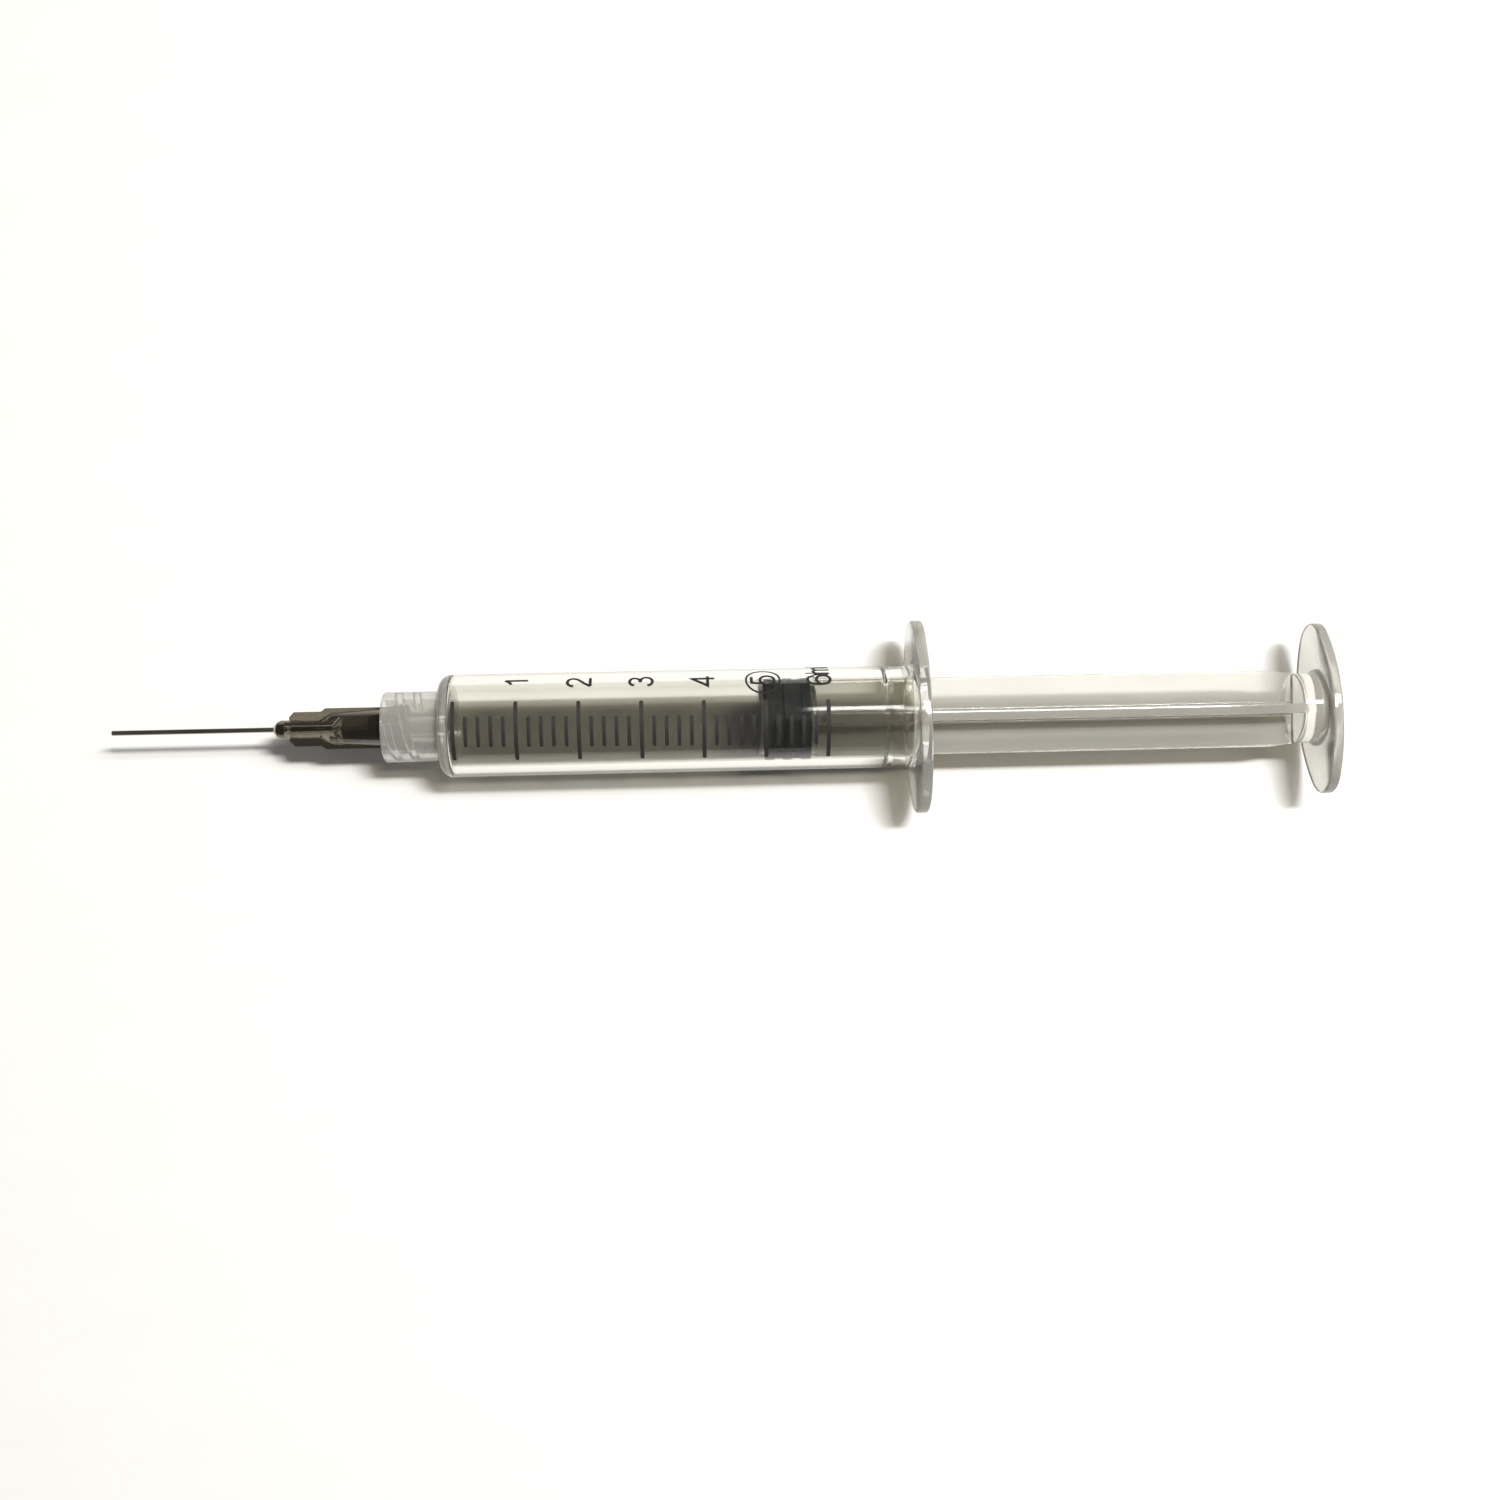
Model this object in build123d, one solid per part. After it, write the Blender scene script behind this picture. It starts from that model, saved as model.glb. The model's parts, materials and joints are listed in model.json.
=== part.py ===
from build123d import *
import os
from math import cos, hypot, pi, radians, sin

# Luer-lock syringe with a blunt needle, millimetres.
# The axis of the barrel is +X, from the needle towards the thumb rest, and +Z is up.
# The origin is on that axis, at the zero line of the printed scale.

# ---- Scale and bore ----
BORE_RADIUS = 6.0
BARREL_WALL = 1.45
MARKED_VOLUME_ML = 6
FILLED_VOLUME_ML = 5
MM3_PER_ML = 1000.0
MINOR_MARKS_PER_ML = 5

# ---- Barrel ----
BARREL_LENGTH = 70.35           # shoulder face to the finger flange's rear face
BORE_END_X = -1.0               # flat front end of the bore
FRONT_WALL = 1.6                # wall between the bore and the lock collar
SHOULDER_ROUND = 1.7
BORE_MOUTH_CHAMFER = 0.3
FLANGE_THICKNESS = 1.7
FLANGE_HALF_LENGTH = 14.3
FLANGE_LIP = 1.25               # flange past the barrel on its short side
FLANGE_END_RADIUS = 6.2
FLANGE_ROOT_ROUND = 0.8
PLATE_EDGE_ROUND = 0.35
BEAD_HEIGHT = 0.22              # ring inside the bore that keeps the stopper in
BEAD_WIDTH = 1.3
BEAD_TO_FLANGE = 4.7

# ---- Lock collar and nozzle ----
COLLAR_LENGTH = 8.0
COLLAR_WALL = 1.1               # at the root of the thread
COLLAR_EDGE_ROUND = 0.3
THREAD_ROOT_RADIUS = 4.0
THREAD_HEIGHT = 0.5
THREAD_LEAD = 5.0
THREAD_STARTS = 2
THREAD_ROOT_WIDTH = 1.2
THREAD_CREST_WIDTH = 0.7
THREAD_SWEEP = 340.0            # degrees of one start
THREAD_TO_RIM = 0.8
THREAD_EMBED = 0.15
LUER_TAPER = 0.06               # change of diameter per unit of length
NOZZLE_TIP_RADIUS = 1.98
NOZZLE_PAST_COLLAR = 2.1
NOZZLE_CHANNEL_RADIUS = 1.0

# ---- Stopper and plunger rod ----
STOPPER_LENGTH = 6.5
STOPPER_CLEARANCE = 0.04        # sealing ribs to the bore
STOPPER_RIB_HEIGHT = 0.2
STOPPER_RIB_WIDTH = 1.3
STOPPER_RIBS = 3
STOPPER_EDGE_ROUND = 0.15
STOPPER_HOLE_RADIUS = 2.6
STOPPER_ON_ROD_CLEARANCE = 0.04
HEAD_CLEARANCE = 0.9            # heads to the bore
HEAD_THICKNESS = 0.9
HEAD_EDGE_ROUND = 0.25
ROD_LENGTH = 84.4               # front head to the rear face of the thumb rest
RIB_CLEARANCE = 0.35            # ribs to the bore
RIB_THICKNESS = 1.4
RIB_TURN = 11.0                 # degrees from the thumb rest's short axis
RIB_COUNT = 4
RIB_TAPER_LENGTH = 3.5          # ribs slope down to the boss over this length
BOSS_RADIUS = 5.2
BOSS_LENGTH = 3.5
BOSS_ROUND = 0.8
THUMB_THICKNESS = 1.6
THUMB_HALF_LENGTH = 12.8
THUMB_LIP = 1.7                 # thumb rest past the boss on its short side
THUMB_END_RADIUS = 4.2

# ---- Needle ----
LUER_GAP = 0.02                 # nozzle cone to hub cone
LUER_ENGAGEMENT = 5.5           # length of nozzle inside the hub
HUB_LENGTH = 18.9
HUB_WALL = 0.665                # round the luer socket, at the mouth
HUB_CONE_DROP = 0.53            # loss of radius along the cone
HUB_CONE_LENGTH = 11.0
HUB_FLARE_LENGTH = 1.7
HUB_NOSE_RADIUS = 1.33
HUB_NOSE_CHAMFER = 0.6
HUB_CAVITY_DEPTH = 9.2
HUB_FUNNEL_LENGTH = 1.6
HUB_COLLAR_CLEARANCE = 0.25     # to the crest of the lock thread
HUB_COLLAR_LENGTH = 1.9
LUG_CLEARANCE = 0.15            # to the root and the flanks of the lock thread
LUG_FLANKS = 0.35               # loss of width from a lug's foot to its top
LUG_SWEEP = 70.0
LUG_EMBED = 0.25
FIN_COUNT = 4
FIN_THICKNESS = 0.65
FIN_BACK_HEIGHT = 0.14          # past the hub's cone at the mouth
FIN_BACK_LENGTH = 10.0
FIN_STEP = 0.47                 # from the rear of a fin down to its front
FIN_FRONT_LENGTH = 5.2
FIN_CHAMFER = 0.7
FIN_TURN = 10.0                 # degrees from +Z towards -Y
CANNULA_RADIUS = 0.36
CANNULA_BORE_RADIUS = 0.2
CANNULA_LENGTH = 31.6
CANNULA_EXPOSED = 23.4
CANNULA_GRIND = 0.03            # radius taken off where the tube is glued
CANNULA_GRIND_TAPER = 0.6       # length over which the ground part begins
CANNULA_GAP = 0.02              # cannula to the hole in the hub
GLUE_WALL = 0.44                # glue round the steel tube
GLUE_WELL_DEPTH = 1.2
GLUE_BEAD_HEIGHT = 0.45

# ---- Print on the barrel ----
INK_THICKNESS = 0.03
MAJOR_MARK_WIDTH = 0.56
MINOR_MARK_WIDTH = 0.52
MAJOR_MARK_SWEEP = 68.0         # degrees round the barrel
MINOR_MARK_SWEEP = 34.0
MARK_CENTRE = 17.6              # degrees from +Z towards -Y at the zero line
MARK_SKEW = 0.12                # degrees more for each millimetre towards the thumb rest

# ---- Worked-out places ----
TOUCH = 1e-4
MM_PER_ML = MM3_PER_ML / (pi * BORE_RADIUS**2)
BARREL_RADIUS = BORE_RADIUS + BARREL_WALL
FLANGE_HALF_HEIGHT = BARREL_RADIUS + FLANGE_LIP
SHOULDER_X = BORE_END_X - FRONT_WALL
FLANGE_BACK_X = SHOULDER_X + BARREL_LENGTH
FLANGE_FRONT_X = FLANGE_BACK_X - FLANGE_THICKNESS
BEAD_X = FLANGE_FRONT_X - BEAD_TO_FLANGE
COLLAR_RIM_X = SHOULDER_X - COLLAR_LENGTH
NOZZLE_TIP_X = COLLAR_RIM_X - NOZZLE_PAST_COLLAR
NOZZLE_SLOPE = LUER_TAPER / 2
COLLAR_RADIUS = THREAD_ROOT_RADIUS + COLLAR_WALL
THREAD_CREST_RADIUS = THREAD_ROOT_RADIUS - THREAD_HEIGHT
STOPPER_FRONT_X = FILLED_VOLUME_ML * MM_PER_ML
STOPPER_BACK_X = STOPPER_FRONT_X + STOPPER_LENGTH
STOPPER_RADIUS = BORE_RADIUS - STOPPER_CLEARANCE
STOPPER_CORE_RADIUS = STOPPER_RADIUS - STOPPER_RIB_HEIGHT
HEAD_RADIUS = BORE_RADIUS - HEAD_CLEARANCE
RIB_RADIUS = BORE_RADIUS - RIB_CLEARANCE
THUMB_HALF_HEIGHT = BOSS_RADIUS + THUMB_LIP
ROD_FRONT_X = STOPPER_FRONT_X - HEAD_THICKNESS
THUMB_BACK_X = ROD_FRONT_X + ROD_LENGTH
THUMB_FRONT_X = THUMB_BACK_X - THUMB_THICKNESS
BOSS_FRONT_X = THUMB_FRONT_X - BOSS_LENGTH
HUB_MOUTH_X = NOZZLE_TIP_X + LUER_ENGAGEMENT
HUB_MOUTH_RADIUS = NOZZLE_TIP_RADIUS + NOZZLE_SLOPE * LUER_ENGAGEMENT + LUER_GAP
HUB_BASE_RADIUS = HUB_MOUTH_RADIUS + HUB_WALL
HUB_SHOULDER_RADIUS = HUB_BASE_RADIUS - HUB_CONE_DROP
HUB_COLLAR_RADIUS = THREAD_CREST_RADIUS - HUB_COLLAR_CLEARANCE
FIN_BACK_RADIUS = HUB_BASE_RADIUS + FIN_BACK_HEIGHT
FIN_FRONT_RADIUS = FIN_BACK_RADIUS - FIN_STEP
HUB_TIP_X = HUB_MOUTH_X - HUB_LENGTH
HUB_COLLAR_FRONT_X = HUB_MOUTH_X - HUB_COLLAR_LENGTH
CANNULA_TIP_X = HUB_TIP_X - CANNULA_EXPOSED
CANNULA_BACK_X = CANNULA_TIP_X + CANNULA_LENGTH
CANNULA_BONDED_RADIUS = CANNULA_RADIUS - CANNULA_GRIND
GLUE_WELL_RADIUS = CANNULA_RADIUS + GLUE_WALL
GLUE_FRONT_X = HUB_TIP_X - GLUE_BEAD_HEIGHT
GRIND_END_X = GLUE_FRONT_X + CANNULA_GRIND_TAPER
LUG_X = HUB_MOUTH_X - HUB_COLLAR_LENGTH / 2
THREAD_START_X = COLLAR_RIM_X + THREAD_TO_RIM
THREAD_PITCH = THREAD_LEAD / THREAD_STARTS
LUG_RADIUS = THREAD_ROOT_RADIUS - LUG_CLEARANCE
LUG_ROOT_WIDTH = THREAD_PITCH - THREAD_ROOT_WIDTH - 2 * LUG_CLEARANCE
LUG_CREST_WIDTH = LUG_ROOT_WIDTH - LUG_FLANKS


def turned(points):
    """Solid turned about the X axis from a closed outline of (x, radius) points."""
    outline = make_face(Polyline(*[(x, 0, radius) for x, radius in points], close=True))
    return revolve(outline, axis=Axis.X)


def drum(x_start, x_end, radius):
    """Plain cylinder on the X axis."""
    return turned([(x_start, 0), (x_end, 0), (x_end, radius), (x_start, radius)])


def ring_edges(part, x, radius):
    """Circular edges of part on the X axis at x, with the given radius."""
    rings = part.edges().filter_by(GeomType.CIRCLE)
    return [
        edge for edge in rings
        if abs(edge.arc_center.X - x) < TOUCH and abs(edge.radius - radius) < TOUCH
    ]


def about_x(part, degrees):
    """part turned about the X axis."""
    return part.rotate(Axis.X, degrees)


def oval_plate(half_length, half_height, end_radius, x_front, thickness):
    """Oval plate square to the X axis: two end arcs and two flatter side arcs that meet smoothly."""
    end_centre = half_length - end_radius
    side_radius = (end_centre**2 + half_height**2 - end_radius**2) / (2 * (half_height - end_radius))
    rise = side_radius - half_height
    reach = hypot(end_centre, rise)
    join_y = end_centre + end_radius * end_centre / reach
    join_z = end_radius * rise / reach
    top = ThreePointArc((-join_y, join_z), (0, half_height), (join_y, join_z))
    right = ThreePointArc((join_y, join_z), (half_length, 0), (join_y, -join_z))
    bottom = ThreePointArc((join_y, -join_z), (0, -half_height), (-join_y, -join_z))
    left = ThreePointArc((-join_y, -join_z), (-half_length, 0), (-join_y, join_z))
    outline = make_face(Wire([top.edge(), right.edge(), bottom.edge(), left.edge()]))
    plate = extrude(Plane.YZ.offset(x_front) * outline, thickness)
    return fillet(plate.edges(), PLATE_EDGE_ROUND)


def helical_ridge(root_radius, crest_radius, root_width, crest_width, x_start, sweep_degrees, start_angle):
    """Trapezoid ridge that follows the lock thread's right-hand helix about the X axis."""
    path = Helix(pitch=THREAD_LEAD, height=THREAD_LEAD * sweep_degrees / 360, radius=root_radius)
    section = make_face(
        Polyline(
            (root_radius, 0, -root_width / 2),
            (crest_radius, 0, -crest_width / 2),
            (crest_radius, 0, crest_width / 2),
            (root_radius, 0, root_width / 2),
            close=True,
        )
    )
    ridge = sweep(section, path=path, is_frenet=True)
    along_x = ridge.rotate(Axis.Y, 90)
    return Pos(x_start, 0, 0) * about_x(along_x, start_angle)


def make_barrel():
    """Barrel, finger flange, nozzle and lock collar: one clear moulding."""
    nozzle_root_radius = NOZZLE_TIP_RADIUS + NOZZLE_SLOPE * (SHOULDER_X - NOZZLE_TIP_X)
    body = drum(SHOULDER_X, FLANGE_FRONT_X + FLANGE_THICKNESS / 2, BARREL_RADIUS)
    body = fillet(ring_edges(body, SHOULDER_X, BARREL_RADIUS), SHOULDER_ROUND)
    body += oval_plate(
        FLANGE_HALF_LENGTH, FLANGE_HALF_HEIGHT, FLANGE_END_RADIUS, FLANGE_FRONT_X, FLANGE_THICKNESS
    )
    body = fillet(ring_edges(body, FLANGE_FRONT_X, BARREL_RADIUS), FLANGE_ROOT_ROUND)
    collar = drum(COLLAR_RIM_X, SHOULDER_X + FRONT_WALL / 2, COLLAR_RADIUS)
    collar -= drum(COLLAR_RIM_X, SHOULDER_X, THREAD_ROOT_RADIUS)
    collar = fillet(ring_edges(collar, COLLAR_RIM_X, COLLAR_RADIUS), COLLAR_EDGE_ROUND)
    for start in range(THREAD_STARTS):
        collar += helical_ridge(
            THREAD_ROOT_RADIUS + THREAD_EMBED, THREAD_CREST_RADIUS, THREAD_ROOT_WIDTH,
            THREAD_CREST_WIDTH, THREAD_START_X, THREAD_SWEEP, 360 / THREAD_STARTS * start,
        )
    nozzle = turned([
        (NOZZLE_TIP_X, 0), (SHOULDER_X + FRONT_WALL / 2, 0),
        (SHOULDER_X + FRONT_WALL / 2, nozzle_root_radius),
        (SHOULDER_X, nozzle_root_radius), (NOZZLE_TIP_X, NOZZLE_TIP_RADIUS),
    ])
    bore = turned([
        (BORE_END_X, 0), (FLANGE_BACK_X, 0), (FLANGE_BACK_X, BORE_RADIUS + BORE_MOUTH_CHAMFER),
        (FLANGE_BACK_X - BORE_MOUTH_CHAMFER, BORE_RADIUS), (BEAD_X + BEAD_WIDTH, BORE_RADIUS),
        (BEAD_X + BEAD_WIDTH / 2, BORE_RADIUS - BEAD_HEIGHT), (BEAD_X, BORE_RADIUS),
        (BORE_END_X, BORE_RADIUS),
    ])
    channel = drum(NOZZLE_TIP_X, BORE_END_X, NOZZLE_CHANNEL_RADIUS)
    return body + collar + nozzle - bore - channel


def make_scale_marks():
    """Printed graduation lines as thin arcs of ink, one solid each."""
    marks = []
    for index in range(MARKED_VOLUME_ML * MINOR_MARKS_PER_ML + 1):
        is_major = index % MINOR_MARKS_PER_ML == 0
        width = MAJOR_MARK_WIDTH if is_major else MINOR_MARK_WIDTH
        sweep_degrees = MAJOR_MARK_SWEEP if is_major else MINOR_MARK_SWEEP
        x = index * MM_PER_ML / MINOR_MARKS_PER_ML
        section = make_face(
            Polyline(
                (x - width / 2, 0, BARREL_RADIUS),
                (x + width / 2, 0, BARREL_RADIUS),
                (x + width / 2, 0, BARREL_RADIUS + INK_THICKNESS),
                (x - width / 2, 0, BARREL_RADIUS + INK_THICKNESS),
                close=True,
            )
        )
        arc = revolve(section, axis=Axis.X, revolution_arc=sweep_degrees)
        marks.append(about_x(arc, MARK_CENTRE + MARK_SKEW * x - sweep_degrees / 2))
    return Compound(children=marks)


def make_stopper():
    """Black rubber sleeve with sealing ribs, open from end to end for the rod's neck."""
    body = drum(STOPPER_FRONT_X, STOPPER_BACK_X, STOPPER_CORE_RADIUS)
    rib_step = (STOPPER_LENGTH - STOPPER_RIB_WIDTH) / (STOPPER_RIBS - 1)
    for index in range(STOPPER_RIBS):
        x = STOPPER_FRONT_X + index * rib_step
        rib = drum(x, x + STOPPER_RIB_WIDTH, STOPPER_RADIUS)
        body += fillet(rib.edges().filter_by(GeomType.CIRCLE), STOPPER_EDGE_ROUND)
    return body - drum(STOPPER_FRONT_X, STOPPER_BACK_X, STOPPER_HOLE_RADIUS)


def make_plunger_rod():
    """Cross-ribbed rod with the stopper's neck and heads in front and the thumb rest behind."""
    neck_radius = STOPPER_HOLE_RADIUS - STOPPER_ON_ROD_CLEARANCE
    heads_end_x = STOPPER_BACK_X + HEAD_THICKNESS
    rod = drum(ROD_FRONT_X, heads_end_x, neck_radius)
    for x in (ROD_FRONT_X, STOPPER_BACK_X):
        head = drum(x, x + HEAD_THICKNESS, HEAD_RADIUS)
        rod += fillet(head.edges().filter_by(GeomType.CIRCLE), HEAD_EDGE_ROUND)
    ribs_front_x = heads_end_x - HEAD_THICKNESS / 2
    ribs_back_x = BOSS_FRONT_X + BOSS_LENGTH / 2
    ribs = Part()
    for index in range(RIB_COUNT // 2):
        blade = Box(ribs_back_x - ribs_front_x, RIB_THICKNESS, 2 * RIB_RADIUS)
        placed = Pos((ribs_front_x + ribs_back_x) / 2, 0, 0) * blade
        ribs += about_x(placed, RIB_TURN + index * 360 / RIB_COUNT)
    envelope = turned([
        (ribs_front_x, 0), (ribs_back_x, 0), (ribs_back_x, BOSS_RADIUS / 2), (BOSS_FRONT_X, BOSS_RADIUS),
        (BOSS_FRONT_X - RIB_TAPER_LENGTH, RIB_RADIUS), (heads_end_x, RIB_RADIUS),
        (heads_end_x, HEAD_RADIUS / 2), (ribs_front_x, HEAD_RADIUS / 2),
    ])
    rod += ribs & envelope
    thumb_end = drum(BOSS_FRONT_X, THUMB_FRONT_X + THUMB_THICKNESS / 2, BOSS_RADIUS)
    thumb_end += oval_plate(
        THUMB_HALF_LENGTH, THUMB_HALF_HEIGHT, THUMB_END_RADIUS, THUMB_FRONT_X, THUMB_THICKNESS
    )
    thumb_end = fillet(ring_edges(thumb_end, THUMB_FRONT_X, BOSS_RADIUS), BOSS_ROUND)
    return rod + thumb_end


def make_needle_hub():
    """Smoky hub: luer socket, lock lugs, stepped fins and a slim nose with a glue well."""
    cone_front_x = HUB_MOUTH_X - HUB_CONE_LENGTH
    cavity_front_x = HUB_MOUTH_X - HUB_CAVITY_DEPTH
    cavity_front_radius = HUB_MOUTH_RADIUS - NOZZLE_SLOPE * HUB_CAVITY_DEPTH
    hole_radius = CANNULA_BONDED_RADIUS + CANNULA_GAP
    body = turned([
        (HUB_TIP_X, 0), (HUB_MOUTH_X, 0), (HUB_MOUTH_X, HUB_BASE_RADIUS),
        (cone_front_x, HUB_SHOULDER_RADIUS), (cone_front_x - HUB_FLARE_LENGTH, HUB_NOSE_RADIUS),
        (HUB_TIP_X + HUB_NOSE_CHAMFER, HUB_NOSE_RADIUS),
        (HUB_TIP_X, HUB_NOSE_RADIUS - HUB_NOSE_CHAMFER / 2),
    ])
    body += drum(HUB_COLLAR_FRONT_X, HUB_MOUTH_X, HUB_COLLAR_RADIUS)
    lug_band = drum(HUB_COLLAR_FRONT_X, HUB_MOUTH_X, LUG_RADIUS)
    for start in range(THREAD_STARTS):
        lug = helical_ridge(
            HUB_COLLAR_RADIUS - LUG_EMBED, LUG_RADIUS, LUG_ROOT_WIDTH, LUG_CREST_WIDTH,
            lug_place(LUG_X), LUG_SWEEP, 360 / THREAD_STARTS * start,
        )
        body += lug & lug_band
    fin_back_end_x = HUB_COLLAR_FRONT_X + TOUCH
    fin_step_x = fin_back_end_x - FIN_BACK_LENGTH
    fin_front_x = fin_step_x - FIN_FRONT_LENGTH
    fin_outline = Polyline(
        (fin_front_x, 0, 0), (fin_back_end_x, 0, 0), (fin_back_end_x, 0, FIN_BACK_RADIUS),
        (fin_step_x, 0, FIN_BACK_RADIUS), (fin_step_x - FIN_THICKNESS, 0, FIN_FRONT_RADIUS),
        (fin_front_x + FIN_CHAMFER, 0, FIN_FRONT_RADIUS),
        (fin_front_x, 0, FIN_FRONT_RADIUS - FIN_CHAMFER), close=True,
    )
    fin = extrude(make_face(fin_outline), FIN_THICKNESS / 2, both=True)
    for index in range(FIN_COUNT):
        body += about_x(fin, FIN_TURN + index * 360 / FIN_COUNT)
    socket = turned([
        (HUB_MOUTH_X, 0), (HUB_MOUTH_X, HUB_MOUTH_RADIUS), (cavity_front_x, cavity_front_radius),
        (cavity_front_x - HUB_FUNNEL_LENGTH, hole_radius), (cavity_front_x - HUB_FUNNEL_LENGTH, 0),
    ])
    well = drum(HUB_TIP_X, HUB_TIP_X + GLUE_WELL_DEPTH, GLUE_WELL_RADIUS)
    return body - socket - well - drum(HUB_TIP_X, HUB_MOUTH_X, hole_radius)


def lug_place(middle_x):
    """Start of a lug so that it runs midway between two turns of the collar's thread."""
    lug_advance = THREAD_LEAD * LUG_SWEEP / 360
    nearest = round((middle_x - lug_advance / 2 - THREAD_START_X) / THREAD_PITCH - 0.5)
    return THREAD_START_X + (nearest + 0.5) * THREAD_PITCH


def make_cannula():
    """Blunt steel tube, ground a little thinner where the glue and the hub hold it."""
    tube = turned([
        (CANNULA_TIP_X, 0), (CANNULA_BACK_X, 0), (CANNULA_BACK_X, CANNULA_BONDED_RADIUS),
        (GRIND_END_X, CANNULA_BONDED_RADIUS), (GLUE_FRONT_X, CANNULA_RADIUS),
        (CANNULA_TIP_X, CANNULA_RADIUS),
    ])
    return tube - drum(CANNULA_TIP_X, CANNULA_BACK_X, CANNULA_BORE_RADIUS)


def make_adhesive_bead():
    """Ring of cured glue that fills the well at the hub's nose and domes a little in front of it."""
    well_radius = GLUE_WELL_RADIUS - CANNULA_GAP
    back_x = HUB_TIP_X + GLUE_WELL_DEPTH - CANNULA_GAP
    return turned([
        (back_x, CANNULA_BONDED_RADIUS), (back_x, well_radius), (HUB_TIP_X, well_radius),
        (HUB_TIP_X - GLUE_BEAD_HEIGHT / 2, (well_radius + CANNULA_RADIUS) / 2),
        (GLUE_FRONT_X, CANNULA_RADIUS), (GRIND_END_X, CANNULA_BONDED_RADIUS),
    ])


NODES = {
    "barrel": make_barrel,
    "scale_marks": make_scale_marks,
    "stopper": make_stopper,
    "plunger_rod": make_plunger_rod,
    "needle_hub": make_needle_hub,
    "cannula": make_cannula,
    "adhesive_bead": make_adhesive_bead,
}

os.makedirs("parts", exist_ok=True)
for node, make in NODES.items():
    export_step(make(), f"parts/{node}.step")
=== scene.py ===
"""Looks for a luer-lock syringe with a blunt needle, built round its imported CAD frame."""

import json
import math

import bmesh
import bpy
import numpy as np
from bpy.props import FloatProperty, FloatVectorProperty, IntProperty, PointerProperty
from mathutils import Matrix, Vector


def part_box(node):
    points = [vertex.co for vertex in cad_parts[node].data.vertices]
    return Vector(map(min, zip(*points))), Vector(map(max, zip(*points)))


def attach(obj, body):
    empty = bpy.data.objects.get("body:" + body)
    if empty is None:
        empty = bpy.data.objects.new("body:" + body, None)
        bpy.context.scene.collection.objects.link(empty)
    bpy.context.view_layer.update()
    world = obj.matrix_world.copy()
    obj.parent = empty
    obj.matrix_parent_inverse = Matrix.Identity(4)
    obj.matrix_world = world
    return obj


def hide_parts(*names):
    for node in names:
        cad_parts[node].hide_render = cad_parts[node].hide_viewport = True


bl_info = {
    "name": "Luer-lock syringe",
    "version": (1, 0, 0),
    "blender": (4, 5, 0),
    "location": "View3D > Sidebar > Syringe",
    "description": "Builds the syringe's visible pieces, their materials and a plain stage",
    "category": "Add Mesh",
}

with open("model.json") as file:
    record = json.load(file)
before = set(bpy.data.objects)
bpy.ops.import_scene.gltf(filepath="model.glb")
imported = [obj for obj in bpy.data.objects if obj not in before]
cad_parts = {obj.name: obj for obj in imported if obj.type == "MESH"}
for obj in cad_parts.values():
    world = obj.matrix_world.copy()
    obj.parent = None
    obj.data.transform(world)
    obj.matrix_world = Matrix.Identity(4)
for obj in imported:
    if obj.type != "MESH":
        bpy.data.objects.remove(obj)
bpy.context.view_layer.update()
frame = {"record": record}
MM = 0.001
THREAD_STARTS = 2
STOPPER_RIBS = 3
RIB_COUNT = 4
FIN_COUNT = 4
MARKED_VOLUME = 6       # last whole millilitre on the scale
RINGED_VOLUME = 5       # nominal volume
MINOR_MARKS = 5         # lines for each millilitre
TURN = 2 * math.pi
LETTER_STRIP = 0.2 * MM  # longest step along a straight stroke
HAIR = 0.001 * MM       # two radii closer than this are the same
INK_LIFT = 0.002 * MM   # underside of the ink above the plastic
CORE_RADIUS = 0.5 * MM  # first ring of a flat end about its middle
WELD = 1e-7             # points closer than this are one
CRISP_ANGLE = math.radians(32.0)  # faces that meet at more than this keep a sharp edge
RIDGE_RUNOUT = 0.12     # turn, in radians, over which a ridge rises at each end
SIDE_FIRST, SIDE_LAST = 8, 25   # points of a rib's section between which its side is flat
POLYPROPYLENE, RUBBER, INK, GLUE = 1.49, 1.5, 1.45, 1.5  # how strongly each bends light
LAMP_TINT = (1.0, 0.985, 0.955)
BACKDROP = (0.93, 0.92, 0.90)
FLOOR_REACH = 1.2       # metres from the origin to each edge of the floor
STAGE_MIDDLE = Vector((0.04, 0.0, 0.0))

# Small places on the pieces.
BOSS_FRONT_ZONE = 0.35 * MM     # the ribs still show through the boss's front edge over this length
FIN_LIP = 0.02 * MM             # a fin's steep ends rise over this length
POINT_SPACING = 0.012           # least angle between the rod's plain points and those of its ribs
END_LENGTH, END_WIDTH = 0.45, 0.45  # a printed line's rounded end, as shares of the line's width

# Roundings of small edges and corners.
NOZZLE_EDGE, NOZZLE_ROOT, CHANNEL_EDGE = 0.15 * MM, 0.4 * MM, 0.2 * MM
COLLAR_MOUTH, COLLAR_EDGE, COLLAR_ROOT = 0.2 * MM, 0.3 * MM, 0.25 * MM
BEAD_FOOT, BEAD_TOP, BORE_END_ROUND = 0.3 * MM, 0.4 * MM, 0.5 * MM
RUBBER_EDGE, RUBBER_HOLE_EDGE = 0.15 * MM, 0.1 * MM
HEAD_EDGE, NECK_ROOT, BOSS_EDGE = 0.25 * MM, 0.1 * MM, 0.3 * MM
HUB_TIP_EDGE, HUB_NOSE_EDGE, FLARE_FOOT, FLARE_TOP = 0.15 * MM, 0.5 * MM, 0.9 * MM, 1.6 * MM
HUB_RIM_EDGE, SOCKET_EDGE, SOCKET_END, FUNNEL_END = 0.12 * MM, 0.1 * MM, 0.3 * MM, 0.2 * MM
WELL_EDGE, TUBE_EDGE, TUBE_CORNER = 0.05 * MM, 0.06 * MM, 0.03 * MM

# Longest steps between points where a shape needs more of them.
THREAD_STEP, BARREL_STEP, LUG_STEP, TUBE_STEP = 0.12 * MM, 6 * MM, 0.07 * MM, 2 * MM

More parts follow.
